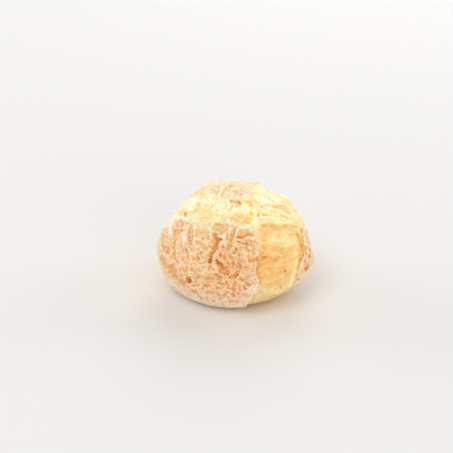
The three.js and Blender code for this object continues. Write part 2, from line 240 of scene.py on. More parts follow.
    "wrinkle_d": (0.29, -0.22, 0.72, [(-19.0, -4.8), (-18.5, -6.1)]),
    "wrinkle_e": (0.44, -0.17, 0.70, [(-15.3, -4.8), (-14.6, -5.8)]),
    "wrinkle_f": (0.29, -0.17, 0.72, [(-19.2, 0.0), (-19.1, -1.4)]),
    "wrinkle_g": (0.25, -0.22, 0.74, [(-22.7, -5.0), (-22.6, -5.6)]),
    "wrinkle_h": (0.25, -0.22, 0.74, [(-21.6, -7.5), (-20.9, -8.4)]),
    "wrinkle_i": (0.29, -0.22, 0.73, [(-20.4, -7.0), (-20.0, -7.6)]),
    "dot_a": (0.21, -0.17, 0.76, [(-18.2, -3.7), (-18.0, -3.9)]),
    "dot_b": (0.21, -0.17, 0.72, [(-18.0, -0.4), (-18.0, -0.9)]),
    "dot_c": (0.21, -0.17, 0.76, [(-20.2, -0.9), (-20.0, -1.1)]),
    "dot_d": (0.21, -0.17, 0.74, [(-15.3, 6.3), (-15.2, 6.1)]),
    "dot_e": (0.21, -0.17, 0.73, [(-15.1, 5.4), (-14.8, 5.2)]),
    "dot_f": (0.21, -0.17, 0.76, [(-24.0, 2.1), (-23.8, 2.0)]),
}
FRONT_RIDGES = {
    "left_lobe_rim": (0.40, 0.50, 0.04, [
        (-8.6, 2.9), (-8.6, 4.9), (-7.8, 6.6), (-6.4, 7.6), (-4.3, 7.9), (-2.5, 7.1), (-1.4, 5.9),
    ]),
    "flap_tip": (0.36, 0.55, 0.00, [(-2.4, 7.5), (-0.5, 6.4), (1.4, 5.5)]),
    "head_rim": (0.27, 0.40, 0.20, [(-7.7, 3.9), (-6.9, 4.2), (-6.1, 3.4), (-5.2, 2.3), (-4.1, 1.8)]),
    "mid_blob": (0.52, 0.45, 0.14, [(-3.6, 2.9), (-3.4, 1.9)]),
    "stem_ridge": (0.42, 0.50, 0.27, [
        (-3.4, 1.6), (-4.3, 0.4), (-5.6, -1.6), (-6.6, -3.9), (-7.3, -5.7), (-7.3, -7.5), (-6.6, -9.4),
    ]),
    "groove_shoulder": (0.29, 0.35, 0.20, [(-1.9, 2.3), (-1.6, 3.8), (-1.5, 5.0)]),
    "between_lobes": (0.36, 0.50, 0.23, [(1.1, 4.4), (0.4, 2.5), (0.4, 0.7), (0.0, -1.1), (-0.3, -2.6)]),
    "right_lobe_rim": (0.36, 0.55, 0.02, [
        (0.6, 2.9), (0.9, 4.1), (1.9, 4.9), (3.6, 5.2), (5.4, 4.9), (6.6, 4.0), (7.0, 2.7),
        (6.8, 1.3),
    ]),
    "right_lobe_fold": (0.29, 0.30, 0.10, [(3.8, 1.6), (5.2, 2.0)]),
    "leaf_left_rim": (0.19, 0.25, 0.23, [(-14.2, 0.4), (-13.0, -1.4), (-12.1, -2.5)]),
    "leaf_top_rim": (0.23, 0.25, 0.12, [(-13.7, 1.1), (-11.8, 0.8), (-10.2, -0.1), (-9.3, -1.9)]),
    "left_ridge": (0.66, 0.50, 0.06, [
        (-17.2, 5.6), (-17.7, 3.6), (-18.1, 1.8), (-18.0, 0.0), (-17.8, -1.8),
    ]),
    "left_ridge_crest": (0.29, 0.15, 0.00, [(-17.8, 2.6), (-18.0, 1.6)]),
    "inner_ridge": (0.29, 0.35, 0.08, [
        (-14.3, 4.9), (-14.3, 2.5), (-14.3, 0.0), (-13.7, -2.0), (-13.0, -3.4),
    ]),
    "far_left_ridge": (0.60, 0.30, 0.12, [(-22.3, 7.3), (-22.8, 5.0), (-22.8, 2.4)]),
    "brow_ridge": (0.40, 0.40, 0.00, [(-22.1, 8.7), (-19.6, 8.5), (-16.8, 8.3)]),
    "corner_brow": (0.95, 0.35, 0.00, [(-25.6, 5.8), (-23.9, 8.0), (-21.8, 9.2)]),
    "seven_collar": (0.42, 0.45, 0.12, [(-4.2, 2.0), (-3.6, 0.9), (-4.6, 0.0), (-5.4, -1.2)]),
    "yellow_fleck": (0.36, 0.40, 0.05, [(-15.9, -7.0), (-15.0, -6.7), (-13.8, -6.6)]),
    "pit_loop": (0.23, 0.40, 0.20, [(-4.3, -6.9), (-3.2, -7.1), (-2.6, -7.8), (-3.2, -8.3)]),
    "wrinkle_pale_a": (0.27, 0.30, 0.27, [(5.0, 0.4), (5.1, -1.4), (5.8, -2.9), (5.4, -4.9)]),
    "wrinkle_pale_b": (0.27, 0.30, 0.24, [(6.3, -1.4), (6.8, -3.2), (7.2, -4.8)]),
    "wrinkle_pale_c": (0.29, 0.30, 0.24, [(4.1, -3.2), (4.3, -5.4), (5.0, -7.3)]),
    "wrinkle_pale_d": (0.29, 0.30, 0.21, [(6.1, -7.1), (7.5, -7.7), (8.4, -7.4)]),
    "wrinkle_pale_e": (0.29, 0.30, 0.29, [(2.2, -2.9), (3.6, -3.9), (3.4, -5.6)]),
    "wrinkle_pale_f": (0.27, 0.30, 0.24, [(3.2, -7.5), (4.8, -8.2)]),
    "cream_bar_a": (0.27, 0.30, 0.21, [(-3.6, -13.8), (-3.1, -15.7), (-3.9, -16.9)]),
    "cream_bar_b": (0.36, 0.30, 0.24, [(-7.3, -12.2), (-6.7, -14.4)]),
    "cream_bar_c": (0.27, 0.30, 0.25, [(-12.9, -8.7), (-11.3, -7.9)]),
    "cream_bar_d": (0.27, 0.30, 0.21, [(-0.9, -9.5), (0.1, -8.4)]),
    "cream_bar_e": (0.27, 0.30, 0.24, [(-2.9, -12.0), (-1.6, -11.3), (-0.6, -10.5)]),
    "cream_bar_f": (0.23, 0.30, 0.24, [(2.1, -11.6), (3.6, -12.6)]),
    "cream_bar_g": (0.27, 0.30, 0.24, [(5.8, -11.1), (7.0, -10.4), (7.3, -9.6)]),
    "cream_bar_h": (0.29, 0.30, 0.25, [(6.4, -12.8), (6.8, -14.6), (5.4, -16.2)]),
    "cream_bar_i": (0.27, 0.30, 0.23, [(-1.8, -2.6), (-1.1, -3.1)]),
    "cream_bar_j": (0.23, 0.30, 0.24, [(-5.0, -1.1), (-5.2, -2.4)]),
    "cream_bar_k": (0.29, 0.30, 0.29, [(-16.5, -7.0), (-16.1, -8.4), (-16.2, -10.9), (-15.6, -11.8)]),
    "cream_bar_l": (0.29, 0.30, 0.29, [(-19.9, -8.9), (-19.8, -11.1), (-20.0, -13.4)]),
    "cream_bar_m": (0.29, 0.30, 0.29, [(-18.9, -6.8), (-19.4, -8.4)]),
    "cream_bar_n": (0.27, 0.30, 0.27, [(-15.0, -11.6), (-13.6, -12.5), (-11.8, -13.8)]),
    "cream_bar_o": (0.27, 0.30, 0.27, [(-11.3, -10.7), (-10.5, -9.3)]),
    "cream_bar_p": (0.23, 0.30, 0.27, [(-2.5, -3.2), (-3.1, -2.1), (-2.9, -0.6)]),
    "cream_bar_q": (0.27, 0.30, 0.20, [(-9.8, -0.2), (-8.9, -0.4), (-8.6, -2.5)]),
}
CAP_HOLLOWS = {
    "cap_split": (0.38, -0.28, 0.62, [(-2.9, 20.1), (-3.4, 19.2), (-4.3, 17.8), (-5.1, 16.8)]),
    "cap_pit": (0.55, -0.28, 0.66, [(-1.3, 20.5), (-0.8, 20.5)]),
    "cap_slot_left": (0.34, -0.22, 0.66, [(-8.9, 17.3), (-7.8, 17.3)]),
    "cap_slot_mid": (0.34, -0.22, 0.66, [(-6.6, 15.9), (-5.5, 16.2)]),
    "cap_patch_left": (1.60, -0.10, 0.46, [(-8.9, 19.0), (-6.2, 19.4)]),
    "cap_patch_right": (1.35, -0.10, 0.48, [(0.8, 18.2), (3.6, 17.9)]),
    "cap_patch_top": (0.70, -0.08, 0.38, [(-0.2, 20.6), (4.0, 20.2)]),
    "cap_line_a": (0.32, -0.23, 0.62, [(-8.0, 19.0), (-5.6, 18.0)]),
    "cap_line_b": (0.36, -0.17, 0.58, [(-10.3, 18.4), (-9.3, 18.3)]),
    "cap_line_c": (0.43, -0.23, 0.62, [(0.6, 18.4), (1.2, 18.3)]),
    "cap_line_d": (0.32, -0.23, 0.60, [(1.9, 17.8), (4.1, 17.3)]),
    "cap_line_e": (0.29, -0.17, 0.54, [(2.6, 19.8), (2.9, 19.1)]),
    "cap_line_f": (0.29, -0.17, 0.54, [(3.9, 19.1), (4.8, 18.8)]),
    "cap_line_g": (0.36, -0.17, 0.56, [(-1.9, 19.4), (-1.6, 18.9)]),
    "cap_line_h": (0.43, -0.17, 0.50, [(-6.6, 21.0), (-5.7, 20.5)]),
    "cap_line_i": (0.32, -0.17, 0.52, [(-0.2, 16.3), (0.6, 16.1)]),
}
CAP_RIDGES = {
    "cap_ridge_a": (0.26, 0.32, 0.00, [(-0.4, 16.9), (1.6, 16.2), (4.3, 15.9)]),
    "cap_ridge_b": (0.28, 0.32, 0.00, [(6.1, 18.4), (5.0, 17.4), (4.3, 15.9)]),
    "cap_ridge_c": (0.30, 0.28, 0.00, [(-8.0, 17.0), (-5.6, 16.8), (-4.9, 16.6)]),
    "cap_ridge_d": (0.28, 0.28, 0.00, [(-3.8, 21.0), (-2.0, 21.0)]),
    "cap_ridge_e": (0.24, 0.28, 0.00, [(-4.3, 20.6), (-4.4, 19.0), (-5.4, 17.2)]),
    "cap_ridge_f": (0.24, 0.28, 0.00, [(-1.6, 18.4), (0.2, 19.6), (2.2, 19.4), (4.6, 18.6)]),
    "cap_ridge_g": (0.24, 0.20, 0.08, [(1.0, 17.4), (2.4, 18.2), (3.4, 17.6)]),
    "cap_ridge_h": (0.22, 0.20, 0.10, [(-8.2, 20.2), (-6.4, 19.4), (-4.8, 19.6)]),
}
SHOULDER_HOLLOWS = {
    "under_cap_a": (0.32, -0.36, 0.84, [(-2.3, 15.5), (-0.9, 15.3)]),
    "under_cap_b": (0.64, -0.30, 0.66, [(-1.1, 14.6), (0.6, 14.3)]),
    "under_cap_c": (0.43, -0.42, 0.92, [(1.6, 14.4), (1.9, 13.6)]),
    "under_cap_d": (0.32, -0.24, 0.66, [(0.8, 13.1), (1.1, 12.8)]),
    "left_fold_a": (0.46, -0.30, 0.62, [(-17.3, 10.2), (-17.0, 9.1)]),
    "left_fold_b": (0.64, -0.18, 0.36, [(-19.3, 10.7), (-18.7, 10.1)]),
    "left_fold_c": (0.68, -0.18, 0.42, [(-12.5, 13.0), (-13.4, 11.2), (-11.6, 10.4)]),
    "left_fold_d": (0.50, -0.18, 0.38, [(-10.3, 13.4), (-9.5, 12.9)]),
    "left_fold_e": (0.43, -0.18, 0.36, [(-7.6, 13.0), (-8.9, 11.6)]),
    "left_fold_f": (0.57, -0.12, 0.36, [(-14.8, 16.2), (-10.8, 16.4)]),
    "thin_fold_a": (0.25, -0.18, 0.46, [(-0.6, 13.2), (-1.2, 12.0), (-2.1, 11.5)]),
    "thin_fold_b": (0.25, -0.18, 0.38, [(-2.9, 13.3), (-3.3, 11.7)]),
    "thin_fold_c": (0.25, -0.18, 0.50, [(-1.1, 8.4), (-1.4, 7.3)]),
    "thin_fold_d": (0.21, -0.18, 0.55, [(-8.1, 9.7), (-8.0, 9.3)]),
    "thin_fold_e": (0.25, -0.18, 0.36, [(-4.3, 12.3), (-4.1, 11.5)]),
}
STRAND_HOLLOWS = {
    "speck_a": (0.25, -0.28, 0.95, [(9.7, 12.8), (9.8, 12.6)]),
    "speck_b": (0.29, -0.35, 0.90, [(8.3, 10.1), (8.3, 9.5)]),
    "torn_a": (0.40, -0.24, 0.60, [(13.9, 12.6), (15.2, 12.9), (16.4, 13.0)]),
    "torn_b": (0.24, -0.24, 0.74, [(16.9, 13.2), (18.0, 12.9)]),
    "torn_c": (0.24, -0.28, 0.69, [(9.8, 9.6), (10.8, 9.9), (12.1, 9.6)]),
    "torn_d": (0.46, -0.22, 0.51, [(17.1, 12.2), (18.5, 11.1), (19.7, 10.5)]),
    "torn_e": (0.26, -0.28, 0.67, [(16.6, 9.8), (17.8, 9.2), (19.4, 8.6)]),
    "torn_f": (0.26, -0.24, 0.60, [(12.4, 15.2), (13.4, 15.0), (14.3, 14.5)]),
    "torn_g": (0.28, -0.18, 0.45, [(11.8, 7.1), (14.6, 7.3)]),
    "torn_h": (0.28, -0.18, 0.41, [(12.8, 10.9), (15.0, 10.6)]),
    "fold_a": (0.22, -0.20, 0.51, [(11.2, 13.3), (12.4, 13.2)]),
    "fold_b": (0.20, -0.20, 0.49, [(15.4, 11.9), (17.6, 11.0), (19.2, 9.8)]),
    "fold_c": (0.20, -0.20, 0.49, [(13.4, 9.6), (15.6, 9.4)]),
    "fold_d": (0.20, -0.18, 0.47, [(16.6, 8.0), (18.9, 7.5)]),
    "fold_e": (0.20, -0.18, 0.47, [(17.0, 14.6), (18.6, 13.9)]),
    "far_patch": (0.46, -0.14, 0.60, [(19.0, 15.2), (20.3, 13.5)]),
}
STRAND_RIDGES = {
    "strand_a": (0.32, 0.45, 0.00, [(9.3, 9.1), (11.8, 9.1), (14.3, 8.6)]),
    "strand_b": (0.36, 0.45, 0.00, [(11.8, 11.8), (14.6, 11.6), (17.1, 10.7)]),
    "strand_c": (0.32, 0.40, 0.00, [(10.7, 14.1), (14.3, 13.8)]),
    "strand_d": (0.32, 0.30, 0.14, [(15.7, 8.3), (18.5, 7.8)]),
    "strand_e": (0.36, 0.30, 0.14, [(14.6, 7.3), (19.6, 7.2)]),
    "strand_f": (0.29, 0.40, 0.00, [(17.5, 10.0), (19.6, 9.5)]),
    "strand_g": (0.32, 0.40, 0.00, [(17.5, 14.1), (19.6, 12.3)]),
    "strand_h": (0.43, 0.25, 0.18, [(7.3, 8.9), (7.3, 6.8)]),
}
BAND_HOLLOWS = {
    "pore_a": (0.48, -0.30, 0.92, [(18.2, -10.1), (18.4, -10.3)]),
    "pore_b": (0.28, -0.21, 0.72, [(17.7, -7.2), (18.4, -7.1)]),
    "pore_c": (0.32, -0.28, 0.80, [(16.6, -15.6), (16.7, -16.2)]),
    "pore_d": (0.18, -0.21, 0.66, [(15.1, -13.9), (15.7, -13.8)]),
}
SLIVER_HOLLOWS = {
    "sliver_pit_a": (0.85, -0.40, 0.86, [(25.8, -9.7), (26.6, -9.0)]),
    "sliver_pit_b": (0.55, -0.28, 0.94, [(27.2, -2.6), (27.4, -3.0)]),
    "sliver_pit_c": (0.50, -0.24, 0.86, [(27.1, -4.5), (27.1, -5.4)]),
    "sliver_pit_d": (0.40, -0.28, 0.92, [(23.2, -13.0), (22.8, -13.9)]),
    "sliver_line_a": (0.28, -0.24, 0.74, [(25.6, 2.3), (26.0, 0.0)]),
    "sliver_line_b": (0.28, -0.24, 0.74, [(26.5, 1.4), (26.8, -1.1)]),
    "sliver_line_c": (0.28, -0.24, 0.78, [(25.8, -1.4), (26.0, -4.3)]),
    "sliver_line_d": (0.28, -0.24, 0.76, [(25.7, -5.2), (25.4, -7.0)]),
}
SLIVER_RIDGES = {
    "sliver_crest": (0.36, 0.30, 0.04, [(23.6, 4.4), (24.6, 2.9), (25.3, 0.8), (25.2, -3.4), (24.5, -6.6)]),
    "sliver_foot": (0.30, 0.25, 0.06, [(24.4, -8.0), (23.2, -11.2), (21.6, -14.2)]),
    "sliver_line": (0.24, 0.20, 0.08, [(26.4, 3.0), (26.8, 0.0), (26.6, -3.6), (26.0, -7.0)]),
}
# name: (half width, bake, path)
DOUGH_TINTS = {
    "tan_under_cap": (1.07, 0.28, [(-18.2, 10.7), (-10.7, 10.7), (-3.6, 9.3), (1.8, 9.3)]),
    "cream_upper_left": (1.80, 0.00, [(-22.0, 11.5), (-18.6, 15.2), (-13.6, 18.8)]),
    "cream_above_lobes": (0.64, 0.04, [(-7.8, 8.0), (-4.6, 8.0), (-2.1, 7.5)]),
    "cream_shoulder": (1.60, 0.00, [(-17.5, 13.6), (-13.9, 15.0)]),
    "cream_left_brow": (0.93, 0.00, [(-23.2, 8.6), (-19.6, 9.1), (-16.1, 8.4)]),
    "tan_shoulder": (0.86, 0.40, [(-12.8, 13.9), (-11.4, 11.4)]),
    "tan_left_shoulder": (0.78, 0.36, [(-19.3, 10.7), (-17.8, 10.0)]),
    "upper_left_tan": (0.93, 0.32, [(-13.6, 17.1), (-10.7, 16.4)]),
    "cream_middle": (1.14, 0.00, [(-6.1, 11.1), (-1.8, 11.8)]),
    "yellow_core": (0.78, 0.24, [(0.4, 10.0), (3.2, 9.3)]),
    "valley": (0.95, 0.58, [(4.6, 14.6), (6.0, 13.2), (6.0, 10.7), (5.4, 8.8)]),
    "orange_beside_lobes": (1.50, 0.50, [(1.2, 7.9), (4.8, 7.4)]),
    "cream_column": (0.78, 0.26, [(7.8, 10.3), (8.0, 5.4)]),
    "cream_crest": (1.07, 0.06, [(7.5, 16.4), (11.1, 15.0), (16.1, 14.6)]),
    "cream_crest_low": (0.71, 0.32, [(10.3, 8.4), (16.1, 8.2)]),
    "fold_left_a": (0.30, 0.38, [(-14.6, 10.6), (-13.0, 12.4)]),
    "fold_left_b": (0.26, 0.36, [(-10.9, 9.6), (-9.6, 11.4)]),
    "fold_left_c": (0.26, 0.34, [(-7.2, 9.8), (-5.7, 11.8)]),
    "fold_left_d": (0.26, 0.34, [(-12.0, 15.4), (-10.4, 16.0)]),
    "tan_brow": (0.90, 0.40, [(-11.8, 8.2), (-9.6, 8.8)]),
    "tan_over_lobes": (0.80, 0.38, [(-1.2, 9.0), (0.2, 8.2)]),
    "tan_strands": (1.00, 0.26, [(16.0, 11.0), (19.0, 10.6), (20.6, 8.6)]),
    "tan_right_crest": (0.57, 0.44, [(19.6, 15.0), (21.0, 13.2)]),
    "cream_rim": (1.10, 0.08, [(22.5, 11.1), (24.9, 6.8), (25.9, 4.2)]),
    # Painted shade: these three strokes are an orange line of shade in the crease under the strands'
    # overhang, where they meet the band.
    "painted_shade_crease_left": (0.80, 0.80, [(10.2, 5.9), (12.4, 6.2), (14.6, 5.9)]),
    "painted_shade_crease_right": (0.80, 0.72, [(15.0, 5.6), (19.6, 5.9), (22.4, 5.2)]),
    "painted_shade_crease_heart": (0.42, 0.88, [(10.0, 6.0), (13.6, 6.1)]),
    "tan_below_crease": (0.90, 0.54, [(11.2, 3.6), (16.1, 4.0), (21.4, 3.4)]),
    # Painted highlight: these three pale streaks stand for soft highlights on the band.
    "sheen": (1.30, 0.26, [(12.6, 1.8), (17.6, 1.2), (20.6, 0.6)]),
    "painted_highlight_upper": (0.60, 0.40, [(14.6, 3.2), (17.6, 3.4)]),
    "painted_highlight_low": (0.50, 0.40, [(15.0, -0.6), (21.8, -0.9)]),
    # Browner dough and painted shade: the band is deeper orange along the front plate's edge.
    "deep_and_shaded_beside_plate": (0.90, 0.84, [(7.4, -3.6), (8.2, -6.4), (7.8, -9.6), (8.8, -12.8)]),
    "deep_middle": (1.80, 0.80, [(10.4, -5.4), (14.6, -5.8), (17.6, -4.6)]),
    "deep_upper": (0.80, 0.66, [(9.4, -1.6), (13.8, -2.4), (20.6, -2.8)]),
    "streak_a": (0.36, 0.40, [(15.4, -7.2), (18.6, -5.8), (21.6, -5.0)]),
    "streak_b": (0.30, 0.42, [(13.4, -3.6), (17.4, -4.6)]),
    "deep_low": (1.21, 0.74, [(9.6, -12.0), (14.6, -11.4), (18.2, -10.0)]),
    "pale_right": (0.80, 0.36, [(21.6, -2.0), (21.9, -7.5), (20.9, -13.2), (18.5, -17.8)]),
    # Painted light: the band is paler towards the foot, making up for the light falling off there.
    "painted_light_low": (1.30, 0.30, [(9.0, -16.6), (13.6, -17.6), (17.6, -16.6)]),
    # Painted shade: a broken orange line of shade in the groove between the band and the right plate's edge.
    "painted_shade_beside_sliver_a": (0.60, 0.88, [(22.4, 3.3), (23.2, 1.4), (23.7, -0.5)]),
    "painted_shade_beside_sliver_b": (0.70, 0.92, [(23.9, -1.2), (24.1, -2.4), (23.7, -3.6)]),
    "painted_shade_beside_sliver_c": (0.56, 0.92, [(23.5, -4.4), (23.3, -5.8), (23.4, -7.6)]),
    "painted_shade_beside_sliver_d": (0.46, 0.94, [(23.1, -8.6), (22.6, -9.6)]),
}

# The same on the sides and the back, with paths of (bearing, elevation) in degrees
FAR_CRACKS = {
    "behind_cap": (0.45, -1.30, 0.56, [(-150, 34), (-138, 50), (-120, 60), (-104, 66)]),
    "behind_shoulder": (0.40, -1.00, 0.56, [(-122, 9), (-108, 18), (-94, 25)]),
    "behind_threads": (0.40, -0.80, 0.56, [(150, 52), (140, 62), (120, 71)]),
    "back_fork": (0.34, -0.50, 0.58, [(-138, 50), (-156, 56), (-178, 54), (166, 60), (150, 66)]),
    "back_branch": (0.26, -0.40, 0.58, [(-178, 54), (172, 47), (160, 46), (146, 40)]),
    "left_branch": (0.26, -0.40, 0.58, [(-156, 56), (-166, 66), (-168, 76)]),
}
FAR_STRANDS = {
    "rim_swell": (1.5, 0.60, 0.02, [(128, 50), (119, 44), (112, 38)]),
    "rim_knot": (0.5, 0.45, 0.00, [(122, 46), (119, 44)]),
    "rim_tip": (0.4, 0.35, 0.00, [(133, 53), (130, 51)]),
    "rim_fold": (0.4, 0.35, 0.04, [(114, 41), (108, 38)]),
}

# From which to which bearing, elevation and turn the far strokes are scattered, and how bent they are
FAR_FROM, FAR_TO = (90, -46, 0), (268, 46, math.pi)
FAR_BEND = 0.4


def far_strokes(salt, count, half_widths, rise, bakes, half_lengths):
    """Short strokes here and there over the sides and the back, for paths of (bearing, elevation)."""
    rolls = np.random.default_rng(SEED + salt)
    strokes = {}
    for n in range(count):
        bearing, elevation, turn = rolls.uniform(FAR_FROM, FAR_TO)
        reach = math.degrees(rolls.uniform(*half_lengths) / BALL_RADIUS)
        across, up = reach * math.cos(turn) / math.cos(math.radians(elevation)), reach * math.sin(turn)
        bend = rolls.uniform(-FAR_BEND, FAR_BEND)
        path = [
            (bearing - across, elevation - up),
            (bearing + bend * up, elevation - bend * across),
            (bearing + across, elevation + up),
        ]
        strokes[n] = (rolls.uniform(*half_widths), rise, rolls.uniform(*bakes), path)
    return strokes


# Each: salt, how many, half widths, rise, bakes and half lengths, in mm
FAR_CELLS = far_strokes(5, 110, (0.3, 1.0), -0.22, (0.68, 0.82), (0.1, 1.2))
FAR_GROOVES = far_strokes(6, 9, (0.5, 0.9), -0.45, (0.70, 0.84), (2.5, 5.0))
FAR_RIDGES = far_strokes(7, 36, (0.25, 0.5), 0.45, (0.00, 0.22), (1.0, 3.5))

# name: (half width, bake, path)
CRUST_TINTS = {
    "pale_brow": (1.20, 0.20, [(-17.0, 8.6), (-13.0, 7.8), (-9.6, 8.0)]),
    "pale_corner": (1.5, 0.14, [(-26.8, 4.4), (-24.6, 7.4), (-22.4, 8.9)]),
    "pale_top": (0.80, 0.28, [(-14.0, 6.4), (-10.0, 6.6)]),
}

# name: (half width, added bake, path)
BROWNED = {
    "plate_heart": (3.8, 0.09, [(-7.0, -3.0), (-1.0, -3.0), (3.0, -5.0), (1.0, -10.5), (-5.0, -11.5)]),
    "plate_right": (2.6, 0.06, [(5.5, -1.0), (6.0, -7.0)]),
    "plate_low": (2.8, 0.03, [(-8.0, -14.0), (2.0, -14.6)]),
    "brown_hollow": (2.0, 0.12, [(-5.4, -6.8), (-3.4, -9.0)]),
    "curl": (1.6, -0.12, [(-21.6, 7.6), (-20.0, 7.0)]),
    "trough_side": (0.9, -0.12, [(-16.4, 4.4), (-16.2, 2.2)]),
    "left_shoulder": (1.4, -0.10, [(-13.8, 14.0), (-12.6, 12.6)]),
    "strands_left": (1.2, -0.10, [(9.4, 12.6), (10.6, 11.4)]),
    "strands_right": (1.0, -0.10, [(20.6, 10.8), (21.4, 9.4)]),
    "sliver_head": (0.9, -0.16, [(23.0, 4.0), (23.9, 3.0)]),
    "band_right": (1.3, -0.12, [(17.0, -3.4), (18.0, -3.8)]),
    "band_far_right": (0.9, -0.10, [(22.0, 1.4), (22.4, -0.8)]),
    "edge_low": (1.3, -0.10, [(5.0, -7.7), (6.0, -9.6), (8.0, -11.6)]),
    # Painted light: paler near the foot's corner, against the shade there.
    "painted_light_foot_corner": (1.8, -0.26, [(6.2, -17.8), (8.4, -20.0)]),
    "under_cap": (1.2, 0.12, [(-6.4, 15.6), (-3.6, 15.2)]),
    "under_cap_right": (1.2, 0.16, [(0.2, 13.6), (2.6, 14.2)]),
    "over_right_lobe": (1.2, 0.12, [(2.4, 6.6), (4.6, 6.4)]),
    "right_lobe": (1.6, 0.10, [(2.0, 3.0), (5.6, 2.4)]),
    "waist": (1.8, 0.10, [(-14.4, -7.0), (-9.0, -6.8)]),
    "low_left": (1.5, 0.12, [(-14.9, -13.2), (-11.2, -11.0)]),
    "right_notch": (1.0, 0.10, [(7.1, -5.9), (7.0, -7.0)]),
    "left_limb": (1.4, 0.10, [(-25.4, -2.6), (-24.6, -4.0)]),
    "sliver_cheek": (1.2, 0.12, [(25.6, -5.0), (25.6, -10.0)]),
    "upper_rim": (1.4, 0.12, [(23.6, 8.6), (25.2, 6.6)]),
    "far_crest": (1.6, -0.16, [(8.0, 18.6), (12.0, 17.4), (15.0, 16.4)]),
    # Painted light: paler near the foot, against the shade there.
    "painted_light_band_foot": (1.3, -0.20, [(20.6, -13.0), (19.6, -15.7)]),
    "band_deep": (1.4, 0.10, [(10.6, -9.2), (13.6, -9.4)]),
    "beside_pit": (1.4, 0.16, [(-1.8, -7.0), (-2.0, -9.6)]),
    # Painted light: paler near the foot, against the shade there.
    "painted_light_band_low_foot": (1.2, -0.12, [(13.6, -17.4), (16.4, -17.6)]),
    "cap_left": (1.0, 0.10, [(-8.6, 20.6), (-7.0, 21.0)]),
    # Painted shadow: darker along the front of the foot.
    "painted_shadow_front_foot": (1.4, 0.08, [(-6.0, -22.0), (-2.0, -22.4)]),
    "stem_side": (0.8, 0.07, [(-8.2, -7.1), (-8.6, -8.6)]),
    "lobe_gap": (0.9, 0.07, [(0.4, -0.7), (0.6, -2.4)]),
    "seven_top": (1.2, 0.07, [(-6.4, 3.4), (-6.0, 1.4), (-3.9, 1.4)]),
    "strands_patch": (1.1, 0.07, [(16.8, 12.4), (19.8, 11.8)]),
    "cap_corner": (1.0, 0.07, [(-11.0, 18.0), (-9.8, 19.0)]),
    "valley_top": (0.9, 0.09, [(6.2, 16.8), (7.2, 16.0)]),
    "over_brow": (1.2, 0.08, [(-14.6, 10.0), (-14.6, 7.8)]),
    "mid_right": (1.1, 0.12, [(0.2, -6.6), (0.6, -7.8)]),
    "right_lobe_top": (0.8, 0.10, [(1.8, 5.4), (3.2, 5.8)]),
}

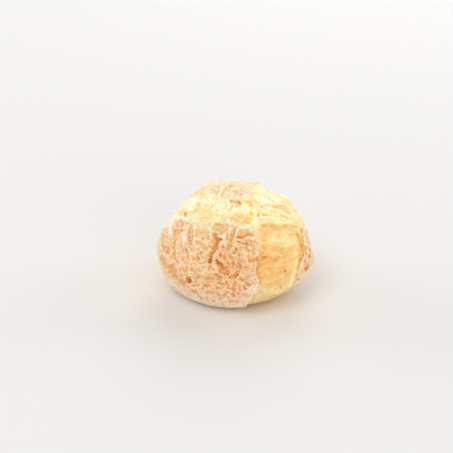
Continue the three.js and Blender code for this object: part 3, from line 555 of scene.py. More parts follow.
# name: (half width, blush, path); a blush below 0 is lemon
BLUSHES = {
    "golden_below_pit": (1.6, 0.35, [(-12.5, -10.6), (-9.0, -11.6), (-5.6, -10.4), (-3.6, -10.2)]),
    "golden_trough": (0.9, 0.40, [(-21.4, 3.4), (-21.6, -1.0), (-21.2, -4.2)]),
    "golden_waist": (1.6, 0.40, [(-17.0, -3.0), (-15.0, -5.4), (-15.2, -7.0)]),
    "golden_left_cells": (1.6, 0.40, [(-25.0, -0.6), (-24.2, -3.0), (-25.0, -7.0), (-22.4, -9.6)]),
    "golden_lower_cells": (1.3, 0.45, [(-19.0, -14.0), (-14.4, -15.2), (-9.0, -15.4), (-2.0, -15.0)]),
    "golden_notch": (0.8, 0.10, [(6.4, -6.4), (7.4, -7.0)]),
    "golden_seven": (0.9, 0.20, [(-7.0, 2.4), (-6.2, 0.9), (-7.1, -1.8), (-8.1, -3.9), (-8.7, -6.4)]),
    "golden_second": (0.8, 0.45, [(0.0, 5.5), (-0.5, 3.6), (-1.3, 1.1), (-2.2, -2.5)]),
    "golden_pit": (1.3, 0.20, [(-5.6, -7.5), (-4.5, -8.3), (-3.0, -9.2)]),
    "golden_left_lobe": (1.1, 0.20, [(-7.6, 4.8), (-7.0, 6.2), (-5.0, 7.0), (-3.0, 6.8)]),
    "golden_right_lobe": (0.9, 0.15, [(0.8, 2.6), (3.0, 3.2), (5.6, 3.6)]),
    "golden_brow": (1.4, 0.20, [(-25.6, 5.8), (-23.6, 8.2), (-20.4, 8.6)]),
    "rosy_sliver": (2.00, 0.75, [(25.4, 2.0), (26.2, -4.0), (25.0, -9.0), (23.0, -13.0)]),
    # Painted shade: the golden hue of the shade in the groove beside the right plate.
    "golden_painted_shade_beside_sliver": (1.0, -0.30, [(22.6, 4.2), (23.8, 1.4), (24.2, -1.4), (23.5, -5.0), (22.8, -9.4)]),
    "lemon_valley": (1.8, -0.65, [(3.8, 14.4), (5.6, 12.6), (5.8, 9.0)]),
    "lemon_strands": (2.4, -0.25, [(10.0, 12.0), (18.0, 11.0)]),
    "lemon_crumb": (1.6, -0.20, [(-12.0, 11.5), (-4.0, 9.6)]),
    "lemon_brow": (1.3, -0.10, [(-14.8, 10.4), (-14.4, 8.2)]),
    "golden_plateau": (2.2, 0.35, [(-13.5, 5.2), (-9.5, 4.6)]),
    "golden_corner": (1.6, 0.25, [(-26.4, 4.6), (-24.6, 7.4), (-22.6, 8.8)]),
    "golden_right_cells": (1.8, 0.60, [(0.0, -14.6), (5.0, -14.6)]),
    "rosy_leaf": (1.1, 1.0, [(-13.3, 0.1), (-11.0, -1.6)]),
    "rosy_brow": (1.6, 1.0, [(-19.6, 6.6), (-17.4, 5.6)]),
    "rosy_plateau": (1.2, 1.1, [(2.4, -1.8), (4.6, -4.6)]),
    "rosy_low_right": (2.4, 1.2, [(6.4, -13.6), (6.6, -17.6)]),
    "rosy_bottom": (2.4, 1.1, [(-14.0, -19.6), (-4.0, -22.4), (4.0, -21.6)]),
    "rosy_cap_left": (1.5, 0.75, [(-8.2, 18.6), (-5.8, 19.6)]),
    "rosy_cap_right": (1.7, 0.75, [(0.6, 17.8), (4.2, 18.2)]),
    "rosy_rim": (0.60, 0.60, [(19.2, 15.4), (20.8, 13.4)]),
    "rosy_rim_low": (0.7, 0.60, [(18.6, 12.2), (20.0, 10.6)]),
    "rosy_shoulder": (0.8, 0.60, [(-17.6, 10.4), (-16.8, 9.2)]),
}


# ---- Sums on arrays of points ----
TINY = 1e-9
FAR_AWAY = 99.0


def ramp(x, low, high):
    """0 up to low, 1 from high on, and an S-curve between them."""
    share = np.clip((x - low) / (high - low), 0.0, 1.0)
    return share * share * (3.0 - 2.0 * share)


def bell(x):
    return np.exp(-x * x)


def mix(a, b, share):
    return a + (b - a) * share


def blend(values, near, target, share):
    """Moves the values of the points near towards the target."""
    values[near] = mix(values[near], target, share)


def unit(v):
    return v / np.maximum(np.linalg.norm(v, axis=-1, keepdims=True), TINY)


def on_unit_ball(bearing, elevation):
    """Degrees. Bearing turns from the front towards +X. Elevation is 0 at the waist, 90 at the top."""
    b, e = np.radians(bearing), np.radians(elevation)
    return np.stack([np.cos(e) * np.sin(b), -np.cos(e) * np.cos(b), np.sin(e)], -1)


def bearing_and_elevation(s):
    return np.degrees(np.arctan2(s[:, 0], -s[:, 1])), np.degrees(np.arcsin(np.clip(s[:, 2], -1, 1)))


def to_spot(s, bearing, elevation):
    """Degrees from a place on the ball."""
    return np.degrees(np.arccos(np.clip(s @ on_unit_ball(bearing, elevation), -1, 1)))


# ---- Noise and cells, from one seeded draw. A salt picks one pattern of its kind. ----
CORNERS = 4096
SALT_STEP = 31
RIPPLE_GAIN = 1.7  # brings the waves to about -1 to 1
ROUGH_RANGE = 1.6  # three octaves of them reach about this
CELL_JITTER = 0.9  # of the way from a square's middle to its sides
dice = np.random.default_rng(SEED)
SHUFFLE = dice.permutation(CORNERS)
SLOPES = unit(dice.normal(size=(CORNERS, 3)))
DRAWS = dice.random((CORNERS, 4))


def corner(home, salt):
    """Which entry of the tables above each whole-numbered place takes."""
    last = CORNERS - 1
    i, j, k = home.T
    return SHUFFLE[(SHUFFLE[(SHUFFLE[(i + SALT_STEP * salt) & last] + j) & last] + k) & last]


def ripple(place, size, salt):
    """Smooth noise from about -1 to 1 with waves about this size. Both are in mm."""
    q = place / size
    home = np.floor(q).astype(np.int64)
    inside = q - home
    fade = inside**3 * (inside * (inside * 6 - 15) + 10)
    total = np.zeros(len(q))
    for step in itertools.product((0, 1), repeat=3):
        weight = np.where(step, fade, 1 - fade).prod(1)
        total += weight * ((inside - step) * SLOPES[corner(home + step, salt)]).sum(1)
    return RIPPLE_GAIN * total


def rough(place, size, salt, octaves=3):
    """Ripples of this size with smaller and smaller ones on them."""
    return sum(ripple(place, size / 2**n, salt + n) / 2**n for n in range(octaves)) / ROUGH_RANGE


def waves(place, *layers):
    """Ripples on top of each other. Each layer is (size, height, salt)."""
    return sum(height * ripple(place, size, salt) for size, height, salt in layers)


def stirred(place, *stirs):
    """The places, each moved so that what is laid out on them wanders. Each stir is (size, reach, salt)."""
    for size, reach, salt in stirs:
        place = place + reach * np.column_stack([ripple(place, size, salt + n) for n in range(3)])
    return place


def cells(place, size, salt):
    """Cells of about this size: mm to the nearest border, mm to the cell's middle, and the cell's draw."""
    q = place / size
    home = np.floor(q).astype(np.int64)
    middles, draws = [], []
    for step in itertools.product((-1, 0, 1), repeat=3):
        key = corner(home + step, salt)
        middles.append(home + step + 0.5 + CELL_JITTER * (DRAWS[key, :3] - 0.5))
        draws.append(DRAWS[key, 3])
    own, draw, nearest = middles[0].copy(), draws[0].copy(), np.full(len(q), FAR_AWAY)
    for middle, its_draw in zip(middles, draws):
        away = ((q - middle) ** 2).sum(1)
        closer = away < nearest
        nearest[closer], own[closer], draw[closer] = away[closer], middle[closer], its_draw[closer]
    border = np.full(len(q), FAR_AWAY)
    for middle in middles:
        gap = middle - own
        length = np.linalg.norm(gap, axis=1)
        half_way = (((middle + own) / 2 - q) * gap).sum(1) / np.maximum(length, TINY)
        border = np.where(length > TINY, np.minimum(border, half_way), border)
    return border * size, np.sqrt(nearest) * size, draw


# ---- The ball's broad form ----
def broad_relief(s):
    total = np.zeros(len(s))
    for bearing, elevation, spread, rise in SWELLS.values():
        total += rise * bell(to_spot(s, bearing, elevation) / spread)
    for x, y, z, phase, height in LUMPS:
        total += height * np.sin(s @ np.array([x, y, z]) + phase)
    return total


def rest_on_foot(z):
    """The side rolls smoothly into the flat foot."""
    above = z + FOOT_DROP
    rolled = -FOOT_DROP + (above + FOOT_ROUNDING) ** 2 / (4 * FOOT_ROUNDING)
    return np.where(above > FOOT_ROUNDING, z, np.where(above < -FOOT_ROUNDING, -FOOT_DROP, rolled))


def upright(s):
    """The direction straight out of the skin."""
    return unit(s / HALF_AXES)


def skin_point(s, relief, broad=None):
    """Where the point s of the unit ball lies with this much relief, about the ball's middle."""
    broad = broad_relief(s) if broad is None else broad
    p = s * HALF_AXES + upright(s) * (broad + relief)[:, None]
    p[:, 2] = rest_on_foot(p[:, 2])
    return p


# ---- Flat charts of the ball, in mm ----
class Chart:
    """Directions and distances from its middle are true."""

    def __init__(self, middle):
        self.out = unit(np.asarray(middle, float))
        self.east = unit(np.cross([0.0, 0.0, 1.0], self.out))
        self.north = np.cross(self.out, self.east)

    def flat(self, s):
        angle = np.arccos(np.clip(s @ self.out, -1, 1))
        x, y = s @ self.east, s @ self.north
        stretch = angle * BALL_RADIUS / np.maximum(np.hypot(x, y), TINY)
        return np.column_stack([x * stretch, y * stretch])

    def round(self, p):
        reach = np.hypot(p[:, 0], p[:, 1])
        angle = reach / BALL_RADIUS
        across = np.sin(angle) / np.maximum(reach, TINY)
        return (
            np.cos(angle)[:, None] * self.out
            + (p[:, 0] * across)[:, None] * self.east
            + (p[:, 1] * across)[:, None] * self.north
        )


EYE_SIDE = on_unit_ball(0, EYE_ELEVATION)
EYE_UP = on_unit_ball(180, 90 - EYE_ELEVATION)
EYE_RIGHT = np.array([1.0, 0.0, 0.0])


def as_seen(p):
    """(across, up) in mm from the ball's middle, for an eye in front and above."""
    nearer = EYE_DISTANCE / (EYE_DISTANCE - p @ EYE_SIDE)
    return np.column_stack([p @ EYE_RIGHT, p @ EYE_UP]) * nearer[:, None]


# ---- Distances in a plane ----
def to_segment(p, a, b):
    ab = b - a
    share = np.clip(((p - a) @ ab) / max(ab @ ab, TINY), 0, 1)
    return np.linalg.norm(p - a - share[:, None] * ab, axis=1)


def depth_inside(p, ring):
    """mm inside a closed outline, negative outside."""
    nearest = np.full(len(p), FAR_AWAY)
    inside = np.zeros(len(p), bool)
    for a, b in zip(ring, np.roll(ring, -1, 0)):
        nearest = np.minimum(nearest, to_segment(p, a, b))
        if a[1] != b[1]:
            crosses = (a[1] > p[:, 1]) != (b[1] > p[:, 1])
            inside ^= crosses & (p[:, 0] < (b[0] - a[0]) * (p[:, 1] - a[1]) / (b[1] - a[1]) + a[0])
    return np.where(inside, nearest, -nearest)


def curved(path, steps=4):
    """A smooth curve through the points."""
    path = np.asarray(path, float)
    if len(path) < 3:
        return path
    held = np.vstack([2 * path[0] - path[1], path, 2 * path[-1] - path[-2]])
    made = []
    for p0, p1, p2, p3 in zip(held, held[1:], held[2:], held[3:]):
        for t in np.arange(steps) / steps:
            bend = 2 * p0 - 5 * p1 + 4 * p2 - p3
            twist = 3 * p1 - 3 * p2 + p3 - p0
            made.append(0.5 * (2 * p1 + (p2 - p0) * t + bend * t**2 + twist * t**3))
    return np.array(made + [path[-1]])


# ---- What a surface gathers ----
class Surface:
    """Points of the unit ball, with the relief in mm, the bake and the blush that they gather."""

    def __init__(self, s, proud):
        """proud is how far the skin stands out, which shifts it a little as the eye sees it."""
        self.s = s
        self.broad = broad_relief(s)
        self.place = s * BALL_RADIUS
        self.facing = upright(s) @ EYE_SIDE
        wandering = stirred(self.place, (1.3, 0.26, 3), (0.6, 0.12, 14))
        skin = skin_point(s, np.full(len(s), proud), self.broad)
        self.seen = as_seen(skin) + (wandering - self.place)[:, :2]  # strokes seen by the eye follow this
        self.astray = stirred(wandering, (6.0, 2.2, 67))  # and far strokes this
        self.wear = ripple(self.place, 1.4, 8)
        self.height = np.zeros(len(s))
        self.bake = np.zeros(len(s))
        self.blush = np.zeros(len(s))
        self.lift = np.zeros(len(s))

    def uneven(self, base, swing, near=slice(None)):
        """Shares of 1 that differ from place to place, so that a stroke fades here and there."""
        return np.clip(base + swing * self.wear[near], 0, 1)


DEPTH_SHARE = 0.35  # how much a mm towards the eye counts against a mm across the view
LEAST_FACING = 0.02  # points that face the eye less than this are out of sight
REACH_SHARE, REACH_MORE = 2.4, 0.7  # a stroke reaches this many half widths, and mm more


def along_paths(surface, strokes, far=False):
    """For each stroke: its settings, the points near it, and how far each of those is from its path."""
    for half_width, *settings, path in strokes.values():
        if far:
            path = curved(on_unit_ball(*np.array(path, float).T) * BALL_RADIUS)
            points, shown = surface.astray, True
        else:
            path = curved(path)
            points, shown = surface.seen, surface.facing > LEAST_FACING
        reach = REACH_SHARE * half_width + REACH_MORE
        inside = (points > path.min(0) - reach) & (points < path.max(0) + reach)
        near = np.flatnonzero(shown & inside.all(1))
        if len(near) == 0:
            continue
        points = points[near]
        if not far:
            depth = DEPTH_SHARE * surface.place[near] @ EYE_SIDE
            nearest = [((points - spot) ** 2).sum(1).argmin() for spot in path]
            path = np.column_stack([path, depth[nearest]])
            points = np.column_stack([points, depth])
        away = np.min([to_segment(points, a, b) for a, b in zip(path, path[1:])], axis=0)
        yield half_width, settings, near, away


HOLLOW_EDGE = 0.26  # a hollow's side rolls down over this much on either side of its edge
EDGE_WANDER = 0.14  # how far its edge strays
RELIEF_KEPT = 0.5  # of the relief that a hollow or a ridge is laid over
COLLAR_AWAY = 0.30  # from a hollow's edge to the crest of the skin that it pushed aside
COLLAR_WIDTH = 0.18
COLLARED_WIDTHS = (0.15, 0.75)  # half widths of the hollows from no collar to a full one
COLLAR_HEIGHT = 0.22
COLLAR_BAKE = 0.24
COLLAR_BLUSH = 0.4
CRUST_COLLARS, DOUGH_COLLARS = 0.8, 0.25  # how strong they are
RIDGE_BLUSH = 0.3


def press_hollows(surface, strokes, collars, far=False):
    """Dents with soft, uneven edges. The skin that they pushed aside stands round them as a pale collar."""
    near_them = list(along_paths(surface, strokes, far))
    for half_width, _, near, away in near_them:
        strength = collars * ramp(half_width, *COLLARED_WIDTHS) * surface.uneven(0.8, 0.8, near)
        share = strength * bell((away - half_width - COLLAR_AWAY) / COLLAR_WIDTH)
        surface.height[near] += COLLAR_HEIGHT * share
        blend(surface.bake, near, COLLAR_BAKE, share)
        blend(surface.blush, near, COLLAR_BLUSH, 0.6 * share)
    for half_width, (rise, bake), near, away in near_them:
        away = away + EDGE_WANDER * surface.wear[near]
        share = 1 - ramp(away, half_width - HOLLOW_EDGE, half_width + HOLLOW_EDGE)
        blend(surface.height, near, rise + RELIEF_KEPT * surface.height[near], share)
        blend(surface.bake, near, bake + np.clip(0.3 * (surface.bake[near] - 0.5), -0.08, 0.05), share)


def raise_ridges(surface, strokes, far=False):
    """Wrinkles that swell and thin along their way."""
    for half_width, (rise, bake), near, away in along_paths(surface, strokes, far):
        width = half_width * (1 + 0.45 * surface.wear[near])
        share = bell(away / width) * surface.uneven(0.85, 0.5, near)
        blend(surface.height, near, rise + RELIEF_KEPT * surface.height[near], share)
        blend(surface.bake, near, bake + 0.4 * (surface.bake[near] - 0.4), 0.85 * share)
        blend(surface.blush, near, RIDGE_BLUSH, 0.7 * share)


def tint(surface, strokes):
    """Sets the bake, fading outwards."""
    for half_width, (bake,), near, away in along_paths(surface, strokes):
        blend(surface.bake, near, bake, bell(away / half_width) * surface.uneven(0.8, 0.6, near))


def brown(surface, strokes):
    """Adds to the bake, fading outwards."""
    for half_width, (more,), near, away in along_paths(surface, strokes):
        surface.bake[near] += more * bell(away / half_width)


def give_hue(surface, strokes):
    """Sets the blush, fading outwards."""
    for half_width, (hue,), near, away in along_paths(surface, strokes):
        blend(surface.blush, near, hue, 0.9 * bell(away / half_width))


def fine_grain(surface, height, bake):
    """The smallest relief and the mottling that lie over everything else."""
    surface.height += height * waves(surface.place, (0.55, 1, 34), (1.1, 0.6, 35))
    surface.bake += bake * waves(surface.place, (0.55, 1, 36), (1.2, 0.8, 37))


# ---- Crust plates ----
BEHIND = -30.0  # the depth of points on the ball's other side, for a plate
EDGE_WAVES = (2.6, 0.5, 11), (1.1, 0.28, 12), (0.5, 0.12, 13)  # each: size, height, salt
UNSEEN_EDGE_WAVES = (6.5, 1.0, 15), (1.9, 0.6, 16)


class Plate:
    """A torn outline with its own folds. Pale, lip and rosy are shares of 1."""

    def __init__(self, name, outline, hollows, ridges, pale=0.0, lip=1.0, rosy=0.85):
        corners = on_unit_ball(*np.array(outline, float).T)
        self.name = name
        self.chart = Chart(corners.mean(0))
        self.ring = self.chart.flat(corners)
        self.hollows, self.ridges = hollows, ridges
        self.pale, self.lip, self.rosy = pale, lip, rosy

    def depth(self, s, p=None):
        """mm inside the torn edge, which is wavier where the eye doesn't see it."""
        p = self.chart.flat(s) if p is None else p
        place = s * BALL_RADIUS
        torn = waves(place, *EDGE_WAVES)
        unseen = 1 - ramp(upright(s) @ EYE_SIDE, -0.15, 0.1)
        torn += unseen * waves(place, *UNSEEN_EDGE_WAVES)
        behind = s @ self.chart.out < -0.2
        return np.where(behind, BEHIND, depth_inside(p, self.ring) + torn)


def cracked_skin(surface, pale):
    """Tan cells, wide in places and fine in others, in a net of paler wrinkles, with small pits."""
    place = surface.place
    wandering = stirred(place, (2.8, 0.8, 21), (0.9, 0.26, 24))
    wide_border, _, wide_draw = cells(wandering, 2.2, 5)
    fine_border, _, fine_draw = cells(wandering, 1.2, 6)
    _, pit_middle, pit_draw = cells(wandering, 1.3, 7)
    wide = ramp(ripple(place, 8.0, 27), -0.5, 0.4)
    wide_wrinkle = bell(wide_border / (0.12 + 0.10 * wide_draw))
    fine_wrinkle = bell(fine_border / (0.09 + 0.07 * fine_draw)) * (0.70 - 0.4 * wide)
    crinkle = bell(ripple(stirred(place, (1.6, 0.4, 63)), 1.5, 29) / 0.10)
    crinkle *= ramp(ripple(place, 3.0, 30), -0.2, 0.3)
    wrinkle = np.maximum(np.maximum(wide_wrinkle, fine_wrinkle), 0.7 * crinkle)
    pit = (pit_draw > 0.55) * bell(pit_middle / 0.20)
    surface.height += 0.24 * wide_wrinkle + 0.14 * fine_wrinkle + 0.14 * crinkle - 0.12 - 0.20 * pit
    surface.height += 0.14 * rough(place, 5.0, 28)
    cell_bake = 0.61 + 0.22 * (wide_draw - 0.5) + 0.20 * (fine_draw - 0.5) + 0.20 * rough(place, 4.0, 31)
    wrinkle_bake = 0.23 + 0.16 * ripple(place, 2.2, 33)
    surface.bake += mix(cell_bake, wrinkle_bake, 0.9 * wrinkle) * (1 - pale) + 0.26 * pit


EDGE_BAKE = 0.16  # of the pale rim just inside a torn edge


def work_crust(plate, s, p):
    """The skin of a plate at points of its chart."""
    surface = Surface(s, CRUST_HEIGHT)
    depth = plate.depth(s, p)
    cracked_skin(surface, plate.pale)
    # Painted light: the crust turns paler and rosier towards the front of the foot, making up for the shade
    # there.
    painted_light_front_foot = ramp(-s[:, 2], 0.15, 0.70) * ramp(-s[:, 1], -0.1, 0.5)
    surface.bake -= 0.22 * painted_light_front_foot
    surface.blush[:] = plate.rosy + 0.5 * rough(surface.place, 4.0, 38) + 0.35 * painted_light_front_foot
    give_hue(surface, BLUSHES)
    surface.blush = np.clip(surface.blush, 0, 1)
    tint(surface, CRUST_TINTS)
    press_hollows(surface, plate.hollows, CRUST_COLLARS)
    raise_ridges(surface, plate.ridges)
    brown(surface, BROWNED)
    press_hollows(surface, FAR_CELLS, CRUST_COLLARS, far=True)
    press_hollows(surface, FAR_GROOVES, CRUST_COLLARS, far=True)
    raise_ridges(surface, FAR_RIDGES, far=True)
    rim = bell((depth - 0.3) / 0.32) * surface.uneven(0.75, 0.7)
    surface.bake = mix(surface.bake, EDGE_BAKE, 0.75 * rim)
    surface.height += 0.2 * rim * plate.lip
    fine_grain(surface, 0.06, 0.15)
    return surface, depth


def flat_points(verts):
    return np.array([v.co.xy for v in verts])


def is_under(v):
    """A plate's flat mesh has its skin at height 0 and its underside at -1."""
    return v.co.z < -0.5


def plate_mesh(plate, step):
    """A thin closed shell in the plate's chart, cut along the torn edge."""
    margin = 2
    low, high = plate.ring.min(0) - margin, plate.ring.max(0) + margin
    across, along = np.ceil((high - low) / step).astype(int)
    middle, half = (low + high) / 2, (high - low) / 2
    bm = bmesh.new()
    bmesh.ops.create_grid(bm, x_segments=int(across), y_segments=int(along), size=1.0)
    bmesh.ops.scale(bm, vec=(half[0], half[1], 1), verts=bm.verts)
    bmesh.ops.translate(bm, vec=(middle[0], middle[1], 0), verts=bm.verts)
    flat = flat_points(bm.verts)
    outside = plate.depth(plate.chart.round(flat), flat) < -0.5 * step
    bm.verts.index_update()
    cut = [f for f in bm.faces if any(outside[v.index] for v in f.verts)]
    bmesh.ops.delete(bm, geom=cut, context="FACES")
    drop_chips(bm)
    edge = [v for v in bm.verts if v.is_boundary]
    flat = flat_points(edge)
    for _ in range(2):
        flat = onto_edge(plate, flat)
    for v, (x, y) in zip(edge, flat):
        v.co.xy = x, y
    bmesh.ops.solidify(bm, geom=bm.faces[:], thickness=1.0)
    return bm


def onto_edge(plate, flat):
    """Moves chart points onto the torn edge, by its slope there."""
    probe, most, flattest = 0.1, 0.3, 0.25
    here = plate.depth(plate.chart.round(flat), flat)
    east = plate.depth(plate.chart.round(flat + (probe, 0)), flat + (probe, 0))
    north = plate.depth(plate.chart.round(flat + (0, probe)), flat + (0, probe))
    slope = np.column_stack([east - here, north - here]) / probe
    move = here[:, None] * slope / np.maximum((slope**2).sum(1, keepdims=True), flattest)
    return flat - np.clip(move, -most, most)


def drop_chips(bm, least=60):
    """Removes patches of fewer faces than this, which the torn edge cut off."""
    left = set(bm.faces)
    chips = []
    while left:
        patch, waiting = [], [left.pop()]
        while waiting:
            f = waiting.pop()
            patch.append(f)
            for other in (other for e in f.edges for other in e.link_faces):
                if other in left:
                    left.remove(other)
                    waiting.append(other)
        if len(patch) < least:
            chips += patch
    bmesh.ops.delete(bm, geom=chips, context="FACES")
    bmesh.ops.delete(bm, geom=[v for v in bm.verts if not v.link_faces], context="VERTS")


LIP_THICKNESS = 0.34
LIP_SWELL, SWELL_WIDTH = 0.18, 0.9  # the skin swells towards a lifted edge
EDGE_DROP, DROP_WIDTH = 0.14, 0.2  # and drops at the edge itself
UNDERSIDE = -0.8  # how deep the underside lies, away from the edge
# Painted shade: the plates' undersides are a warm tan, darker than their skin, for the shade under a lifted
# edge.
UNDERSIDE_PAINTED_SHADE_BAKE = 0.6
LOW_STAND = 0.25  # how far a plate without a lip stands out
OUT_OF_SIGHT = 3.0  # mm from the edge, past which the underside is hidden on the dough


def thin_underside(bm, plate):
    """Fewer faces where the underside is out of sight."""
    under = [v for v in bm.verts if is_under(v)]
    flat = flat_points(under)
    hidden = plate.depth(plate.chart.round(flat), flat) > OUT_OF_SIGHT
    bmesh.ops.unsubdivide(bm, verts=[v for v, is_hidden in zip(under, hidden) if is_hidden], iterations=4)


def build_plate(plate, step):
    bm = plate_mesh(plate, step)
    thin_underside(bm, plate)
    flat = flat_points(bm.verts)
    under = np.array([is_under(v) for v in bm.verts])
    surface, depth = work_crust(plate, plate.chart.round(flat), flat)
    stand = mix(LOW_STAND, CRUST_HEIGHT, plate.lip)
    swell = LIP_SWELL * plate.lip * bell(depth / SWELL_WIDTH)
    skin = stand + surface.height + swell - EDGE_DROP * bell(depth / DROP_WIDTH)
    lip = skin - LIP_THICKNESS
    below = mix(lip, np.minimum(lip, UNDERSIDE), ramp(depth, 0.2, 2.0))
    surface.lift = np.where(under, below, skin)
    # Painted shade on the underside.
    surface.bake[under] = UNDERSIDE_PAINTED_SHADE_BAKE
    return write_surface(plate.name, bm, surface)


# ---- Meshes ----
def put_in_scene(name, data):
    made = bpy.data.objects.new(name, data)
    bpy.context.scene.collection.objects.link(made)
    return made


def mesh_of(name, bm):
    mesh = bpy.data.meshes.new(name)
    bm.to_mesh(mesh)
    bm.free()
    return mesh


def write_piece(name, bm, p, bake, blush):
    """Puts a bmesh's points at p, about the ball's middle, with bake and blush as attributes."""
    mesh = mesh_of(name, bm)
    mesh.vertices.foreach_set("co", ((p + ball_middle) * MM).astype(np.float32).ravel())
    for attribute, values in ("bake", bake), ("blush", blush):
        held = mesh.attributes.new(attribute, "FLOAT", "POINT")
        held.data.foreach_set("value", values.astype(np.float32))
    mesh.polygons.foreach_set("use_smooth", np.ones(len(mesh.polygons), bool))
    mesh.update()
    return put_in_scene(name, mesh)


def write_surface(name, bm, surface):
    p = skin_point(surface.s, surface.lift, surface.broad)
    return write_piece(name, bm, p, surface.bake, surface.blush)


# ---- The dough ----
FINE_CUTS = 4  # in each edge that shows
# The dough is left coarse from this depth in a plate, in mm, and below this height on the unit ball
COARSE_UNDER_CRUST, COARSE_BELOW = -0.05, -0.78


def crust_depths(s):
    return np.array([plate.depth(s) for plate in plates])


def dough_mesh(subdivisions):
    """A closed ball, with finer faces where no plate covers it."""
    bm = bmesh.new()
    bmesh.ops.create_icosphere(bm, subdivisions=subdivisions, radius=1.0)
    s = unit(np.array([v.co for v in bm.verts]))
    bm.verts.index_update()
    shown = (crust_depths(s).max(0) < COARSE_UNDER_CRUST) & (s[:, 2] > COARSE_BELOW)
    edges = [e for e in bm.edges if shown[e.verts[0].index] or shown[e.verts[1].index]]
    bmesh.ops.subdivide_edges(bm, edges=edges, cuts=FINE_CUTS, use_grid_fill=True)
    bmesh.ops.triangulate(bm, faces=[f for f in bm.faces if len(f.verts) > 3])
    return bm


def drawn_out(along, across, stretch):
    """Places for ripples that are this many times as long as they are wide."""
    return np.column_stack([along / stretch, across, np.zeros(len(along))])


THREAD_LEANS = (-0.42, 0.02, 0.38)  # how steeply each set of threads climbs to the right


def stretched_band(surface, along, level):
    """Smooth golden dough, drawn out in short soft threads that lie this way and that."""
    shares = [np.exp(3 * ripple(surface.place, 3.0, 70 + n)) for n in range(len(THREAD_LEANS))]
    whole = sum(shares)
    swell, line, fine = np.zeros((3, len(along)))
    for n, (lean, share) in enumerate(zip(THREAD_LEANS, shares)):
        drift = 0.5 * ripple(surface.place, 2.0, 44 + n)
        threads = drawn_out(along, level - lean * along + drift, 3.0)
        swell += share / whole * ripple(threads, 2.2, 74 + n)
        line += share / whole * ripple(threads, 1.1, 78 + n)
        fine += share / whole * ripple(threads * (0.8, 1, 1), 0.55, 82 + n)
    blot = rough(surface.place, 2.6, 41)
    unseen = 1 - ramp(surface.facing, -0.1, 0.2)
    height = 0.15 + 0.10 * swell + 0.10 * line + 0.05 * fine + 0.08 * blot
    bake = 0.10 * swell + 0.16 * line + 0.14 * fine + 0.15 * blot
    return height * (1 + unseen), bake * (1 + 0.8 * unseen) - 0.06 * unseen


def torn_strands(surface, along, level):
    """Dough torn level: long soft crests and faint threads, with a few bumps along the skyline."""
    tilted = level + waves(surface.place, (6.0, 0.9, 46), (2.5, 0.3, 47)) + 0.22 * along
    wide, long = drawn_out(along, tilted, 4), drawn_out(along, tilted, 5)
    crest = 1 - 2.0 * np.abs(ripple(wide, 2.4, 49))
    small = 1 - 2.0 * np.abs(ripple(wide, 1.1, 50))
    thread = ripple(long, 0.55, 51)
    hair = bell(ripple(long, 1.0, 52) / 0.10)
    _, bump_middle, bump_draw = cells(stirred(surface.place, (0.9, 0.3, 68)), 2.4, 69)
    bump = (bump_draw > 0.4) * bell(bump_middle / 0.55) * bell((surface.facing + 0.05) / 0.3)
    height = 0.22 * crest + 0.10 * small + 0.05 * thread + 0.10 * hair + 0.55 * bump + 0.05
    mottle = rough(surface.place, 3.2, 53)
    # Painted light and shade: the crests and hair threads are paler and the gaps between them darker.
    return height, 0.06 - 0.08 * crest - 0.05 * small + 0.05 * thread - 0.09 * hair + 0.17 * mottle


RAGGED_SPOT = (146, 56)  # bearing and elevation of the torn corner at the upper right
CRUMB_LUMPS = (1.9, 0.30, 54), (1.05, 0.18, 55), (0.6, 0.07, 56)  # each: size, height, salt
UP_THE_SLOPE = unit(0.5 * EYE_RIGHT + 0.87 * EYE_UP)


def torn_tufts(surface):
    """Where the crumb is torn into tufts, 0 to 1, and how much of a tuft is there, 0 to 1."""
    far_left = bell((surface.facing + 0.05) / 0.28) * ramp(-surface.s[:, 0], 0.02, 0.3)
    ragged = np.maximum(far_left, bell(to_spot(surface.s, *RAGGED_SPOT) / 9.0))
    return ragged, ramp(ripple(stirred(surface.place, (0.8, 0.35, 65)), 1.5, 60), 0.0, 0.55)


def crumbly_dough(surface, ragged, tuft):
    """Soft lumps heaped together, drawn out up the slope, with tan seams, loose peaks and torn tufts. The
    higher a lump heaps the paler it is painted, and the seams darker: painted light and shade over the
    dough's own colour.
    """
    uphill = (surface.place @ UP_THE_SLOPE)[:, None] * UP_THE_SLOPE
    place = surface.place - 0.4 * uphill
    heaped, seams = np.zeros((2, len(place)))
    for size, high, salt in CRUMB_LUMPS:
        border, middle, draw = cells(stirred(place, (size, 0.35 * size, salt + 3)), size, salt)
        heaped += high * (0.4 + 1.2 * draw) * (1 - np.clip(middle / (0.8 * size), 0, 1) ** 2)
        seams = np.maximum(seams, bell(border / (0.15 * size)) * (draw > 0.35))
    _, peak_middle, peak_draw = cells(stirred(surface.place, (0.9, 0.3, 64)), 1.9, 62)
    peak = (peak_draw > 0.5) * bell(peak_middle / 0.45)
    height = 0.2 + heaped + 0.25 * peak + 1.6 * ragged * (tuft - 0.3)
    mottle = rough(surface.place, 4.0, 61)
    # Painted light and shade: heaped lumps and tuft tops are paler, seams darker; the mottle is the dough's
    # own.
    bake = 0.10 - 0.46 * heaped + 0.24 * seams - 0.06 * peak + 0.26 * mottle
    return height, bake - 0.04 * ragged * tuft


# Where the three kinds of dough meet, in degrees of bearing or elevation
CREASE_ELEVATION = 43.5  # between the strands and the band, at its highest
CREASE_START = 20  # the bearing from which it falls
CREASE_FALL, CREASE_RUN = 15, 44  # it falls by the first over the second
VALLEY_BEARING = 21  # between the crumb and the strands
VALLEY_TURNS_ABOVE = 44
STRANDS_END = (112, 128)
CRUMB_FOOT = (18, 30)


